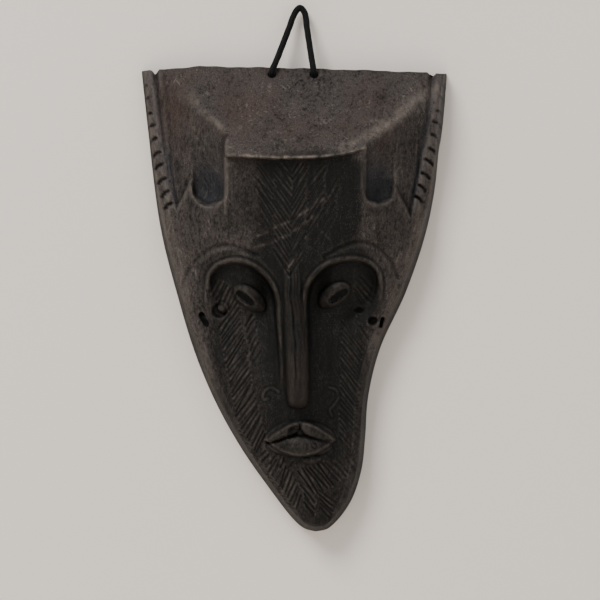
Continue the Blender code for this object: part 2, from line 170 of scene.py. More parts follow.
def ramp(value: Array, low: float, high: float) -> Array:
    """Smooth step from 0 at low to 1 at high."""
    t = unit((value - low) / (high - low))
    return t * t * (3.0 - 2.0 * t)


def smooth_min(a: Array, b: Array, width: float) -> Array:
    """The lower of two surfaces, with their crease rounded over a width."""
    mix = unit(0.5 + 0.5 * (b - a) / width)
    return b + (a - b) * mix - width * mix * (1.0 - mix)


def ripple(x: Array, z: Array, wavelength: float, seed: int, stretch: float = 1.0) -> Array:
    """Smooth random waves: a sum of sines of about one wavelength in random directions.

    Args:
        x: positions across.
        z: positions up.
        wavelength: the usual distance between crests.
        seed: picks the directions and phases.
        stretch: how much longer the waves are up the grain than across it.

    Returns:
        Values of about -1 to 1.
    """
    rng = np.random.default_rng(seed)
    total = np.zeros(x.shape)
    for _ in range(9):
        angle, phase = rng.uniform(0, math.tau, 2)
        scale = math.tau / (wavelength * rng.uniform(0.7, 1.5))
        total += np.sin(scale * (x * math.cos(angle) + z * math.sin(angle) / stretch) + phase)
    return total / 3.0


def curve_distance(x: Array, z: Array, points: Points, steps: int, reach: float) -> Array:
    """Distance to a smooth curve through some points, as line_distance gives it."""
    return line_distance(x, z, smooth_curve(points, steps), reach)


def away(x: Array, z: Array, place: Sequence[float]) -> Array:
    """Distance from a point."""
    return np.hypot(x - place[0], z - place[1])


def oval(x: Array, z: Array, place: Sequence[float], tilt: float, half: Sequence[float]) -> Array:
    """Distance from an oval's middle, 1 on its edge, the oval turned by a tilt in degrees."""
    c, s = math.cos(math.radians(tilt)), math.sin(math.radians(tilt))
    along = ((x - place[0]) * c + (z - place[1]) * s) / half[0]
    across = ((z - place[1]) * c - (x - place[0]) * s) / half[1]
    return np.hypot(along, across)


def dome(x: Array, z: Array, place: Sequence[float], tilt: float, half: Sequence[float],
         power: float = 1.0) -> Array:
    """A dome over an oval: 1 in its middle, 0 from its edge outwards, blunter at low powers."""
    return unit(1.0 - oval(x, z, place, tilt, half) ** 2) ** power


def groove(distance: Array, half_width: float, depth: float) -> Array:
    """Depth of a V-shaped cut with a rounded lip, at each distance from its middle."""
    return depth * unit(1.0 - distance / half_width) ** 1.3


# ------------------------------------------------------------------ meshes

def new_object(name: str, verts: Array, faces: list[Sequence[int]]) -> bpy.types.Object:
    """Make a smooth-shaded object from positions in millimetres and faces that point outwards."""
    mesh = bpy.data.meshes.new(name)
    mesh.from_pydata((verts * MM).tolist(), [], faces)
    mesh.validate()
    mesh.shade_smooth()
    item = bpy.data.objects.new(name, mesh)
    bpy.context.scene.collection.objects.link(item)
    return item


def store(item: bpy.types.Object, name: str, values: Array) -> None:
    """Store one number for each vertex as a named attribute."""
    layer = item.data.attributes.new(name, "FLOAT", "POINT")
    layer.data.foreach_set("value", np.ascontiguousarray(values, dtype=np.float32))


def positions(item: bpy.types.Object) -> Array:
    """Vertex positions in millimetres."""
    flat = np.empty(len(item.data.vertices) * 3)
    item.data.vertices.foreach_get("co", flat)
    return flat.reshape(-1, 3) / MM


def travelled(line: Array) -> Array:
    """Distance along a polyline at each of its points."""
    return np.concatenate([[0.0], np.cumsum(np.linalg.norm(np.diff(line, axis=0), axis=1))])


def spread(line: Array, count: int) -> Array:
    """The given number of points, evenly spaced along a polyline."""
    along = travelled(line)
    wanted = np.linspace(0.0, along[-1], count)
    return np.column_stack([np.interp(wanted, along, line[:, k]) for k in range(line.shape[1])])


def resample(line: Array, spacing: float) -> Array:
    """Points about a spacing apart along a polyline."""
    return spread(line, max(2, round(travelled(line)[-1] / spacing)) + 1)


def path_frames(line: Array) -> tuple[Array, Array, Array]:
    """Tangent, normal and binormal along a line, turned as little as possible from point to point."""
    tangent = np.gradient(line, axis=0)
    tangent /= np.linalg.norm(tangent, axis=1, keepdims=True)
    normal = np.empty_like(line)
    seed = np.cross(tangent[0], (0.31, 0.87, 0.12))
    normal[0] = seed / np.linalg.norm(seed)
    for k in range(1, len(line)):
        turned = normal[k - 1] - tangent[k] * np.dot(normal[k - 1], tangent[k])
        normal[k] = turned / np.linalg.norm(turned)
    return tangent, normal, np.cross(tangent, normal)


# ------------------------------------------------------------------ shader maths

class Value:
    """Wraps a number socket, so that Python operators add Math nodes."""

    def __init__(self, shader: "Shader", socket: Any) -> None:
        """Keep the shader that the nodes go into and the socket."""
        self.shader = shader
        self.socket = socket

    def _math(self, operation: str, first: Any, second: Any) -> "Value":
        """Add one Math node and wrap its result."""
        made = self.shader.node("ShaderNodeMath", {0: first, 1: second}, operation=operation)
        return Value(self.shader, made.outputs[0])

    def __add__(self, other: Any) -> "Value":
        """Sum."""
        return self._math("ADD", self, other)

    def __sub__(self, other: Any) -> "Value":
        """Difference."""
        return self._math("SUBTRACT", self, other)

    def __rsub__(self, other: Any) -> "Value":
        """Difference, the other way round."""
        return self._math("SUBTRACT", other, self)

    def __mul__(self, other: Any) -> "Value":
        """Product."""
        return self._math("MULTIPLY", self, other)

    __radd__ = __add__
    __rmul__ = __mul__

    def clamp(self) -> "Value":
        """The value kept between 0 and 1."""
        return self._math("MINIMUM", self._math("MAXIMUM", self, 0.0), 1.0)


class Shader:
    """Builds one Principled material out of nodes."""

    def __init__(self, name: str) -> None:
        """Make the material and clear its nodes."""
        self.material = bpy.data.materials.new(name)
        self.material.use_nodes = True
        self.tree = self.material.node_tree
        self.tree.nodes.clear()
        self.surface = self.node("ShaderNodeBsdfPrincipled")
        self.output = self.node("ShaderNodeOutputMaterial", {"Surface": self.surface.outputs["BSDF"]})
        self.place = self.node("ShaderNodeTexCoord").outputs["Object"]

    def node(self, kind: str, inputs: dict[Any, Any] | None = None, **settings: Any) -> bpy.types.Node:
        """Add a node.

        Args:
            kind: the node's type.
            inputs: what goes into its sockets: a Value, an output socket or a plain value.
            settings: its properties, set first; stops gives a ramp's two (position, grey) pairs.

        Returns:
            The node.
        """
        made = self.tree.nodes.new(kind)
        for key, value in settings.items():
            if key == "stops":
                for element, (place, grey) in zip(made.color_ramp.elements, value):
                    element.position, element.color = place, (grey, grey, grey, 1.0)
            else:
                setattr(made, key, value)
        self.feed(made, inputs or {})
        return made

    def feed(self, node: bpy.types.Node, inputs: dict[Any, Any]) -> None:
        """Link or set some of a node's sockets."""
        for key, value in inputs.items():
            if isinstance(value, Value):
                value = value.socket
            if isinstance(value, bpy.types.NodeSocket):
                self.tree.links.new(value, node.inputs[key])
            else:
                node.inputs[key].default_value = value

    def attribute(self, name: str) -> Value:
        """A number stored on the mesh."""
        return Value(self, self.node("ShaderNodeAttribute", attribute_name=name).outputs["Fac"])

    def noise(self, scale: float, upright: float, detail: float, roughness: float,
              turn: float = 0.0) -> Value:
        """Noise on Object coordinates.

        Args:
            scale: cycles in a metre across the grain.
            upright: their number in a metre up the grain, as a share of the scale.
            detail: how many finer layers are added.
            roughness: how strong the finer layers are.
            turn: degrees that the pattern is turned about Y.

        Returns:
            Values round 0.5.
        """
        turned = self.node("ShaderNodeMapping", {
            "Vector": self.place, "Rotation": (0.0, math.radians(turn), 0.0)}).outputs[0]
        mapped = self.node("ShaderNodeMapping", {"Vector": turned, "Scale": (1.0, 1.0, upright)}).outputs[0]
        return Value(self, self.node("ShaderNodeTexNoise", {
            "Vector": mapped, "Scale": scale, "Detail": detail, "Roughness": roughness}).outputs[0])

    def curve(self, value: Value, *stops: tuple[float, float]) -> Value:
        """A number remapped between two (position, value) stops."""
        return Value(self, self.node("ShaderNodeValToRGB", {"Fac": value}, stops=stops).outputs["Color"])

    def mix(self, factor: Value, first: Any, second: Any) -> Any:
        """Mix two colours."""
        return self.node("ShaderNodeMix", {0: factor, 6: first, 7: second}, data_type="RGBA").outputs[2]

    def bump(self, height: Value, distance: float, strength: float, **under: Any) -> Any:
        """Turn a height into a normal, over the Normal that is given, if any."""
        return self.node("ShaderNodeBump", {
            "Height": height, "Distance": distance, "Strength": strength, **under}).outputs["Normal"]


def linear(red: float, green: float, blue: float) -> tuple[float, float, float, float]:
    """A display colour, 0 to 255, as linear light."""
    channels = [c / 255.0 for c in (red, green, blue)]
    light = [c / 12.92 if c <= 0.04045 else ((c + 0.055) / 1.055) ** 2.4 for c in channels]
    return (*light, 1.0)


@dataclass(frozen=True)
class StainedWood:
    """Black-brown stained wood: worn grey on the raised planes, near black in the carved face."""

    stain: tuple = linear(10, 11, 10)
    bare: tuple = linear(60, 55, 53)
    reddish: tuple = linear(66, 49, 43)
    # pale worn grey, also the colour of painted highlights
    worn: tuple = linear(122, 113, 105)
    dusty: tuple = linear(52, 56, 63)
    # soot black, for the pores, cracks and grime, and for painted shade
    soot_and_shade: tuple = linear(7, 7, 7)
    scuffs: Points = ((38, 520), (-24, 680))
    specular: float = 0.14

    def material(self) -> bpy.types.Material:
        """Build the wood: attribute-led colour, streaked along the grain, with fine pores."""
        shader = Shader("stained_wood")
        curve, noise = shader.curve, shader.noise
        grain = noise(190.0, 0.10, 5.0, 0.62)
        streaks = noise(620.0, 0.08, 3.0, 0.6)
        blotch = noise(42.0, 0.6, 6.0, 0.68)
        mottle = noise(620.0, 0.55, 5.0, 0.75)
        speckle = noise(1500.0, 0.8, 2.0, 0.7)
        warm = noise(30.0, 0.7, 3.0, 0.5)
        clumps = noise(75.0, 1.0, 2.0, 0.5)
        bare, wear_and_highlight = shader.attribute("bare"), shader.attribute("wear_and_highlight")
        uneven = (blotch - 0.5) * 2.2 + (grain - 0.5) * 1.7 + (mottle - 0.5) * 4.4
        lightness = bare * (1.0 + uneven) + (blotch - 0.5) * 0.24 + (mottle - 0.5) * 0.95 - 0.02
        redness = curve(warm, (0.44, 0.0), (0.66, 1.0)) * (shader.attribute("warmth") * 0.55)
        dust = shader.attribute("dust") * curve(blotch, (0.3, 0.5), (0.7, 1.0))
        flecks = curve(speckle, (0.55, 0.0), (0.68, 1.0)) * curve(blotch, (0.4, 0.2), (0.6, 1.0))
        layers = [(lightness, self.bare), (redness, self.reddish), (dust, self.dusty),
                  (flecks * (0.16 + bare * 0.26), self.worn)]
        for turn, scale in self.scuffs:
            scuff = curve(noise(scale, 0.12, 2.0, 0.6, turn), (0.60, 0.0), (0.70, 1.0))
            scuff = scuff * curve(clumps, (0.48, 0.0), (0.60, 1.0))
            layers.append((scuff * (0.05 + bare * 0.30), self.worn))
        pits = curve(noise(900.0, 0.6, 2.0, 0.6), (0.30, 1.0), (0.40, 0.0))
        cracks = curve(streaks, (0.30, 1.0), (0.40, 0.0))
        rub = curve(noise(260.0, 0.6, 5.0, 0.75), (0.36, 0.1), (0.60, 1.0))
        # the wear attribute pales worn edges and painted highlights, and the grime attribute darkens grime
        # and painted shade
        layers += [(pits * 0.16, self.soot_and_shade), (cracks * 0.45, self.soot_and_shade), (wear_and_highlight * rub, self.worn),
                   (shader.attribute("grime_and_shade"), self.soot_and_shade)]
        colour = self.stain
        for share, tint in layers:
            colour = shader.mix(share.clamp(), colour, tint)
        pores = grain * 0.6 + streaks * 0.35 - pits * 0.35 + mottle * 0.6
        shader.feed(shader.surface, {
            "Base Color": colour,
            "Roughness": (0.58 + bare * 0.16 + (speckle - 0.5) * 0.25 - wear_and_highlight * 0.08).clamp(),
            "Normal": shader.bump(speckle, 0.0004, 0.35, Normal=shader.bump(pores, 0.0011, 0.55)),
            "Specular IOR Level": self.specular})
        return shader.material


@dataclass(frozen=True)
class BraidedCord:
    """Black round cord: near-black painted shade between the strands, charcoal on them, slightly furry."""

    strand: tuple = linear(12, 12, 14)
    # near-black painted shade between the strands
    gap: tuple = linear(2, 2, 3)
    sheen: float = 0.03
    specular: float = 0.12

    def material(self) -> bpy.types.Material:
        """Build the cord from its braid height, with fine fibres along it."""
        shader = Shader("braided_cord")
        fibre = shader.noise(2600.0, 1.0, 3.0, 0.6)
        worn = shader.noise(160.0, 1.0, 3.0, 0.6)
        height = shader.attribute("strand")
        # painted shade: darker where the braid sinks between the strands
        share = (height * 0.8 + (fibre - 0.5) * 0.5 + (worn - 0.5) * 0.6).clamp()
        shader.feed(shader.surface, {
            "Base Color": shader.mix(share, self.gap, self.strand),
            "Roughness": (0.70 + (fibre - 0.5) * 0.3).clamp(), "Normal": shader.bump(fibre, 0.0004, 0.35),
            "Sheen Weight": self.sheen, "Specular IOR Level": self.specular})
        return shader.material


@dataclass(frozen=True)
class PalePaint:
    """Plain off-white studio wall and floor. The wall isn't seen from behind."""

    colour: tuple = linear(238, 230, 221)
    roughness: float = 0.9
    specular: float = 0.1

    def material(self) -> bpy.types.Material:
        """Build the paint, clear on the faces that look away."""
        shader = Shader("pale_paint")
        shader.feed(shader.surface, {
            "Base Color": self.colour, "Roughness": self.roughness, "Specular IOR Level": self.specular})
        away = shader.node("ShaderNodeNewGeometry").outputs["Backfacing"]
        clear = shader.node("ShaderNodeBsdfTransparent").outputs[0]
        mixed = shader.node("ShaderNodeMixShader", {0: away, 1: shader.surface.outputs[0], 2: clear})
        shader.feed(shader.output, {"Surface": mixed.outputs[0]})
        return shader.material


# ------------------------------------------------------------------ studio

@dataclass
class Studio:
    """Camera, lights and a plain wall that runs down into a plain floor."""

    centre_z: float = -0.1615
    view_width: float = 0.3377
    distance: float = 1.8
    sensor: float = 36.0
    wall_y: float = 0.0005
    wall_top: float = 1.4
    floor_z: float = -0.62
    floor_front: float = -4.0
    half_width: float = 3.0
    bend_radius: float = 0.25
    lights: tuple = (("window", (-1.1, -1.7, 1.7), 1.1, 69.0, (1.0, 0.985, 0.965)),
                     ("room", (1.4, -2.2, 0.5), 2.2, 9.5, (0.95, 0.975, 1.0)),
                     ("behind", (0.5, 1.6, 0.5), 1.2, 14.0, (1.0, 1.0, 1.0)))
    sky: tuple[float, ...] = (0.93, 0.95, 1, 1)
    sky_strength: float = 0.42

    def camera(self) -> None:
        """Look straight at the wall from in front of the mask."""
        data = bpy.data.cameras.new("camera")
        data.sensor_width = self.sensor
        data.lens = self.sensor * self.distance / self.view_width
        item = bpy.data.objects.new("camera", data)
        item.location = (0.0, -self.distance, self.centre_z)
        item.rotation_euler = (math.pi / 2, 0.0, 0.0)
        bpy.context.scene.collection.objects.link(item)
        bpy.context.scene.camera = item

    def backdrop(self) -> None:
        """Sweep a wall profile sideways: straight down, a quarter turn, then out along the floor."""
        turn, radius = np.linspace(0.0, math.pi / 2, 13), self.bend_radius
        bend = [(self.wall_y - radius * (1 - math.cos(a)), self.floor_z + radius * (1 - math.sin(a)))
                for a in turn]
        profile = [(self.wall_y, self.wall_top), *bend, (self.floor_front, self.floor_z)]
        verts = np.array([(side * self.half_width, y, z) for y, z in profile for side in (-1, 1)]) / MM
        faces = [(2 * k, 2 * k + 2, 2 * k + 3, 2 * k + 1) for k in range(len(profile) - 1)]
        wall = new_object("studio_wall", verts, faces)
        wall.data.materials.append(PalePaint().material())
        wall.visible_shadow = False

    def light(self, name: str, place: tuple[float, float, float], size: float, power: float,
              colour: tuple[float, float, float]) -> None:
        """Add one soft square light that faces the middle of the mask."""
        data = bpy.data.lights.new(name, "AREA")
        data.size = size
        data.energy = power
        data.color = colour
        item = bpy.data.objects.new(name, data)
        item.location = place
        aim = Vector((0.0, 0.0, self.centre_z)) - Vector(place)
        item.rotation_euler = aim.to_track_quat("-Z", "Y").to_euler()
        bpy.context.scene.collection.objects.link(item)

    def build(self) -> None:
        """Set up the whole studio."""
        self.camera()
        self.backdrop()
        for light in self.lights:
            self.light(*light)
        world = bpy.data.worlds.new("pale_room")
        world.use_nodes = True
        background = world.node_tree.nodes["Background"]
        background.inputs["Color"].default_value = self.sky
        background.inputs["Strength"].default_value = self.sky_strength
        bpy.context.scene.world = world


# ------------------------------------------------------------------ cord

@dataclass
class HangingCord:
    """The braided cord: from its left knot over the nail to its right knot."""

    radius: float = 1.75
    hole_x: tuple[float, float] = (-15.8, 7.7)
    pivot_y: float = -16.7
    pivot_z: float = -34.9
    shelf_slope: float = 0.775
    over_nail: Points = ((-12.5, -13.7, -26.1), (-6.1, -7.9, -9), (-2.9, -5.1, -0.6), (0, -4.8, 2.6),
                         (2.7, -5.1, -0.6), (3.9, -7.9, -9), (6.4, -13.7, -26.1))
    straights: tuple[float, ...] = (11, 7, 3.4, 1.2)
    mouth_rise: tuple[float, ...] = (0, -0.35, 0.55)
    spacing: float = 0.33
    around: int = 28
    blend_reach: float = 3.5
    knot_start: float = 9.0
    knot_length: float = 6.0
    knot_turns: float = 1.85
    knot_reach: float = 2.35
    knot_share: float = 0.93
    body: str = "mask"
    loop_body: str = "cord_loop"

    def inward(self) -> Array:
        """Unit vector along the holes, from the front into the hollow: square to the shelf."""
        angle = math.atan(self.shelf_slope)
        return np.array([0.0, math.cos(angle), -math.sin(angle)])

    def pivot(self, side: Side) -> Array:
        """Where the cord turns out of a hole."""
        x = self.hole_x[0] if side is Side.LEFT else self.hole_x[1]
        return np.array([x, self.pivot_y, self.pivot_z])

    def route(self) -> Array:
        """Centreline: straight out of one hole, over the nail, and straight into the other."""
        inward = self.inward()
        left, right = ([*(self.pivot(side) + inward * k for k in self.straights),
                        self.pivot(side) + self.mouth_rise] for side in Side)
        points = [*left, *[np.array(p) for p in self.over_nail], *right[::-1]]
        return resample(smooth_curve(points, 14), self.spacing)

    def tube(self, name: str, line: Array, radius: float) -> bpy.types.Object:
        """Sweep a braided section along a line: two families of strands cross on the surface.

        The radius at angle a and distance s is the cord's radius, less a little where the
        strands of both families fall away: each family is |sin(2.5 a ± k s)|, and the higher shows.

        Args:
            name: the object's name.
            line: the centreline.
            radius: the cord's radius.

        Returns:
            The tube, closed at both ends.
        """
        around, rows = self.around, len(line)
        angle = np.arange(around) * math.tau / around
        along = travelled(line)[:, None]
        turn = along / (radius * 1.15)
        first = np.abs(np.sin(2.5 * angle + turn))
        second = np.abs(np.sin(2.5 * angle - turn + 0.8))
        strand = np.maximum(first, second) ** 0.7
        size = radius * (0.91 + 0.11 * strand + 0.012 * np.sin(along * 0.9))
        _, normal, binormal = path_frames(line)
        outward = (normal[:, None, :] * np.cos(angle)[None, :, None]
                   + binormal[:, None, :] * np.sin(angle)[None, :, None])
        verts = (line[:, None, :] + outward * size[:, :, None]).reshape(-1, 3)
        k, a = np.meshgrid(np.arange(rows - 1), np.arange(around), indexing="ij")
        b = (a + 1) % around
        quads = np.stack([k * around + a, k * around + b, (k + 1) * around + b, (k + 1) * around + a], -1)
        faces = quads.reshape(-1, 4).tolist()
        faces.append(list(range(around))[::-1])
        faces.append([(rows - 1) * around + n for n in range(around)])
        item = new_object(name, verts, faces)
        store(item, "strand", strand.reshape(-1))
        return item

    def knot_route(self, side: Side) -> Array:
        """Centreline of a tied stopper knot: two snug turns round the cord, then a short tail."""
        pivot, inward = self.pivot(side), self.inward()
        across = np.array([1.0, 0.0, 0.0]) * side.value
        up, down = np.cross(inward, across), np.cross(inward, (1.0, 0.0, 0.0))
        turn = np.linspace(0.0, 1.0, 90)
        angle = turn * math.tau * self.knot_turns + 0.6
        reach = self.knot_reach * np.clip(turn * 9.0, 0.25, 1.0)
        along = self.knot_start + 1.9 + (self.knot_length - 3.6) * (0.5 - 0.5 * np.cos(turn * math.pi))
        turns = (pivot + inward * along[:, None] + across * (reach * np.cos(angle))[:, None]
                 + up * (reach * np.sin(angle))[:, None])
        away = turns[-1] + (turns[-1] - turns[-3]) * 2.2
        tail = [away + inward * deep + down * low - across * aside
                for deep, low, aside in ((1.1, 0.9, 0.0), (2.0, 2.6, 0.8), (2.2, 5.0, 1.2))]
        return resample(smooth_curve([*turns[::6], *tail], 10), self.spacing)

    def build(self, finish: bpy.types.Material) -> list[bpy.types.Object]:
        """Args:
            finish: the cord's material.

        Returns:
            The cord and the knots.
        """
        line = self.route()
        cord = self.tube("black_cord", line, self.radius)
        knots = [self.tube(f"{side.name.lower()}_knot", self.knot_route(side), self.radius * self.knot_share)
                 for side in Side]
        for piece in (cord, *knots):
            piece.data.materials.append(finish)
        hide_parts("hanging_cord")
        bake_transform(cord)
        for knot, node in zip(knots, ("left_cord_end", "right_cord_end")):
            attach(knot, self.body)
            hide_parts(node)
        return [cord, *knots]


# ------------------------------------------------------------------ carved mask

@dataclass
class Outline:
    """The mask's edge against the wall: two listed sides, a chin tip and a bowed top."""

    left: Points = ((-89, -32.6), (-85.2, -69), (-78.5, -121), (-68.7, -160), (-58.5, -193),
                    (-47, -220), (-33, -245), (-17.4, -267.3), (-3.6, -285), (2.4, -290))
    right: Points = ((82.5, -34), (80, -66), (72.5, -117), (60, -156), (45, -189),
                     (38.4, -216), (36.6, -240), (34.6, -257), (29, -274), (21, -285.5),
                     (15.2, -290.4))
    tip: tuple[float, float] = (8.8, -291.8)
    top: Points = ((-89, -32.6), (-56, -29.9), (0, -31), (45, -32.4), (82.5, -34))
    top_z: float = -31.0
    gaps: tuple[float, float] = (-81.2, 73.9)
    gap_width: float = 2.4
    gap_depth: float = 3.4

    def __post_init__(self) -> None:
        """Sample both sides and join them round the chin."""
        self.left_line = smooth_curve([*self.left, self.tip])
        self.right_line = smooth_curve([*self.right, self.tip])
        self.sides = np.vstack([self.left_line, self.right_line[::-1][1:]])

    def left_x(self, z: Array) -> Array:
        """X of the left side at each height."""
        return np.interp(-z, -self.left_line[:, 1], self.left_line[:, 0])

    def right_x(self, z: Array) -> Array:
        """X of the right side at each height."""
        return np.interp(-z, -self.right_line[:, 1], self.right_line[:, 0])

    def top_at(self, x: Array) -> Array:
        """Height of the top edge: a shallow bow, with a small V where each notched strip ends."""
        edge = np.asarray(self.top)
        height = np.interp(x, edge[:, 0], edge[:, 1])
        height = height + 0.18 * np.sin(x * 0.21) + 0.12 * np.sin(x * 0.53 + 1.0)
        for gap in self.gaps:
            height = height - self.gap_depth * unit(1.0 - np.abs(x - gap) / self.gap_width)
        return height


@dataclass
class Relief:
    """Depths of the carved front, feature by feature."""

    outline: Outline
    top_depth: float = 12.0
    shelf_slope: float = 0.775
    brow_z: float = -82.7
    shelf_sag: float = 1.1
    brow_edge: Points = ((-60, -83.2), (-40.5, -82.7), (-14, -84.2), (14, -83.4), (27, -81.2),
                         (35.5, -78.8), (60, -78))
    face: Points = ((-83, 47.5), (-110, 45), (-135, 42), (-160, 37.5), (-185, 34),
                    (-210, 31.5), (-250, 30.5), (-275, 27), (-292, 21))
    face_drop: Points = ((-83, 3), (-110, 9), (-140, 15), (-175, 15), (-210, 10),
                         (-292, 6))
    side_left: Points = ((-31, 8), (-60, 9), (-95, 12.5), (-115, 14), (-150, 16),
                         (-292, 16))
    side_right: Points = ((-31, 13.5), (-60, 16.5), (-100, 16.5), (-150, 16), (-292, 16))
    side_slope: Points = ((-31, 0.80), (-110, 0.72), (-150, 0.60), (-200, 0.42), (-292, 0.40))
    slope_step: float = 3.1
    slopes: tuple = (((-80.6, -30), (-78.5, -50), (-73.5, -84), (-68.7, -111), (-60.6, -95.6),
                      (-58.6, -104), (-50.5, -108.8), (-42.5, -106.5), (-38, -90), (-38, -70),
                      (-60, -45), (-74, -30)),
                     ((73.4, -30), (71, -56), (66.5, -90), (61.7, -115.6), (52.2, -98.6),
                      (50.6, -105), (43.5, -108.2), (36.5, -106.5), (33, -90), (36, -70),
                      (52, -50), (66, -30)))
    wall_draft: float = 5.0
    top_draft: float = 14.0
    block: tuple[float, float] = (-40.5, 35)
    scallops: Points = ((-50.2, -76, -100.6, 9.6, 8), (43, -76, -100, 9, 8))
    left_socket: Points = ((-51, -157), (-49.6, -147), (-44.5, -142), (-33, -140),
                           (-21, -146), (-13.5, -157), (-11.5, -175), (-11.5, -218),
                           (-24, -232), (-39, -208), (-49, -182))
    right_socket: Points = ((2.7, -163), (4.6, -153), (12, -144), (22, -139.6), (36, -140),
                            (43.5, -147), (43, -165), (35, -182), (31, -205), (22, -228),
                            (6, -218), (3.5, -180))
    socket_depth: float = 9.0
    socket_bevel: float = 2.6
    socket_fade: tuple[float, float] = (-168, -222)
    socket_pits: Points = ((-17.5, -159), (8, -158))
    brow_grooves: tuple = (((-67, -160), (-62.5, -146), (-54.6, -136.5), (-46.6, -132),
                            (-38, -131.5), (-24, -136.5)),
                           ((14, -137.5), (24, -132), (33, -129.4), (42, -131.5), (50, -139),
                            (55, -149)))
    nose: Points = ((-138, -4.8, 4.8, 0), (-160, -4, 5.2, 3.8), (-176, -2.9, 6.2, 7),
                    (-190, -1.8, 7, 9.8), (-205, -1.3, 6.7, 13.2), (-213, -1.2, 6.3, 14.4),
                    (-216.6, -1.2, 6, 13.6), (-218.8, -1.2, 5.4, 11), (-220.3, -1.2, 4.6, 6.5),
                    (-221.4, -1.2, 3.6, 0))
    nose_grooves: Points = ((-0.1, 1, 1), (0.62, 0.7, 0.5), (0.30, 0.6, 0.45), (-0.45, 0.7, 0.35))
    lids: Points = ((-27.8, -160.3, -38, 10.5, 5.5, 6.2), (18.9, -158.6, 34, 10, 5.8, 6.2))
    slits: Points = ((-30.3, -160.4, -36, 11, 3.5), (21.3, -159.2, 34, 11, 3.5))
    lips: Points = ((-9.6, -234.6, 27, 10.4, 4.6, 4.9), (9.8, -234.6, -24, 10.6, 4.8, 5.2),
                    (0.4, -242.6, 0, 17.4, 5.6, 5.6))
    mouth_half: float = 19.0
    mouth_arcs: Points = ((-238.6, 10.4, 0.6, 1.6), (-239.6, -8.6, 0.4, 1.9))
    lip_nick: tuple[float, float] = (-4.0, -233.2)
    lip_ring: tuple[float, float] = (7.8, -241.8)
    under_lip: tuple[float, float] = (6.6, -249.6)
    left_pit: tuple[float, float] = (-44.6, -167.2)
    knob: tuple[float, float] = (-42.9, -165.6)
    right_pit: tuple[float, float] = (40.5, -173.0)
    right_pit_lip: tuple[float, float] = (40.5, -173.6)
    dimple: tuple[float, float] = (32.8, -167.0)
    bead: tuple[float, float] = (31.5, -170.6)
    seam: Points = ((-17.8, -240.8), (-12, -239.4), (-7.5, -237.2), (-2.5, -236))
    faint_seam: Points = ((-2.5, -236), (4, -237.4), (11, -238.6), (17.5, -239.4))
    dishes: Points = ((-56, -169.5, 6, 1), (46, -171, 5, 1))
    strips: tuple = ((1, ((-88, -38), (-86.2, -49.4), (-79.2, -80.3), (-71.6, -112)),
                      ((-81.3, -31), (-79, -50), (-75.2, -80), (-69.4, -108)), 2.3),
                     (-1, ((81.4, -38), (77.6, -57), (71.6, -81), (64, -108)),
                      ((73.9, -31), (71.5, -56), (67, -86), (62.2, -113.5)), 2.9))
    scratch_lines: tuple = (
        ((-24, -126.5), (-4, -117), (18, -102.5)), ((-25, -132.5), (-9, -127), (8, -115)),
        ((-38, -70), (-33, -66.5)), ((-8, -146), (-3, -138)), ((-60, -62), (-57, -72)))
    stroke_rows: tuple = (
        ((-4.3, -92), (-6.2, -148), (-13.3, -80), (-14.2, -136), 18),
        ((-14.5, -99), (-15, -124), (-24.5, -85.5), (-23, -112), 9),
        ((-4, -92), (-5.6, -148), (3.5, -79), (1.4, -135), 17),
        ((5, -98), (4, -126), (14, -85), (12.5, -112), 10),
        ((14, -107), (13, -126), (21, -95), (19, -114), 7),
        ((-49.8, -157.5), (-39, -166.5), (-46.6, -150.5), (-34, -157), 7),
        ((-45, -177), (-34, -232), (-34.5, -163.5), (-24.5, -218), 21),
        ((-33.5, -235), (-23.5, -250.5), (-23.8, -221), (-19, -238), 8),
        ((-30.5, -176), (-26.5, -196), (-25.5, -169), (-22, -189), 7),
        ((23.5, -174), (22, -238), (34.5, -188), (32.5, -250.5), 22),
        ((30.5, -172.5), (33.5, -176), (37.5, -182), (37.5, -184), 2),
        ((33, -148), (29.5, -157), (42, -157.5), (37, -166), 5),
        ((-27.5, -250.5), (-13.5, -268.5), (-21.5, -243), (-7.5, -257), 8),
        ((-13, -268.5), (-3.5, -281), (-6.5, -254.5), (0.5, -268.5), 7),
        ((-16.5, -252.5), (-7.5, -255.5), (-13.5, -247.5), (-4.5, -250.5), 4),
        ((-1.5, -256), (16.5, -250.5), (8.5, -269.5), (25, -260.5), 9),
        ((1, -264), (3.5, -276.5), (7.5, -272.5), (8.2, -281.5), 6),
        ((10.4, -267), (12, -277), (19, -274), (16.4, -282.5), 5),
        ((19.5, -252), (28, -247), (25.5, -259), (31.5, -254), 4))
    left_curl: Points = ((-11.8, -212.4), (-14.9, -210.4), (-18.6, -211.2), (-20.7, -214.3), (-19.8, -216.7),
                         (-17.6, -216.1))
    right_curl: Points = ((16.1, -209.9), (20, -211.6), (21.4, -215.5), (19.2, -219.8), (16.7, -222.3),
                          (17.6, -226))

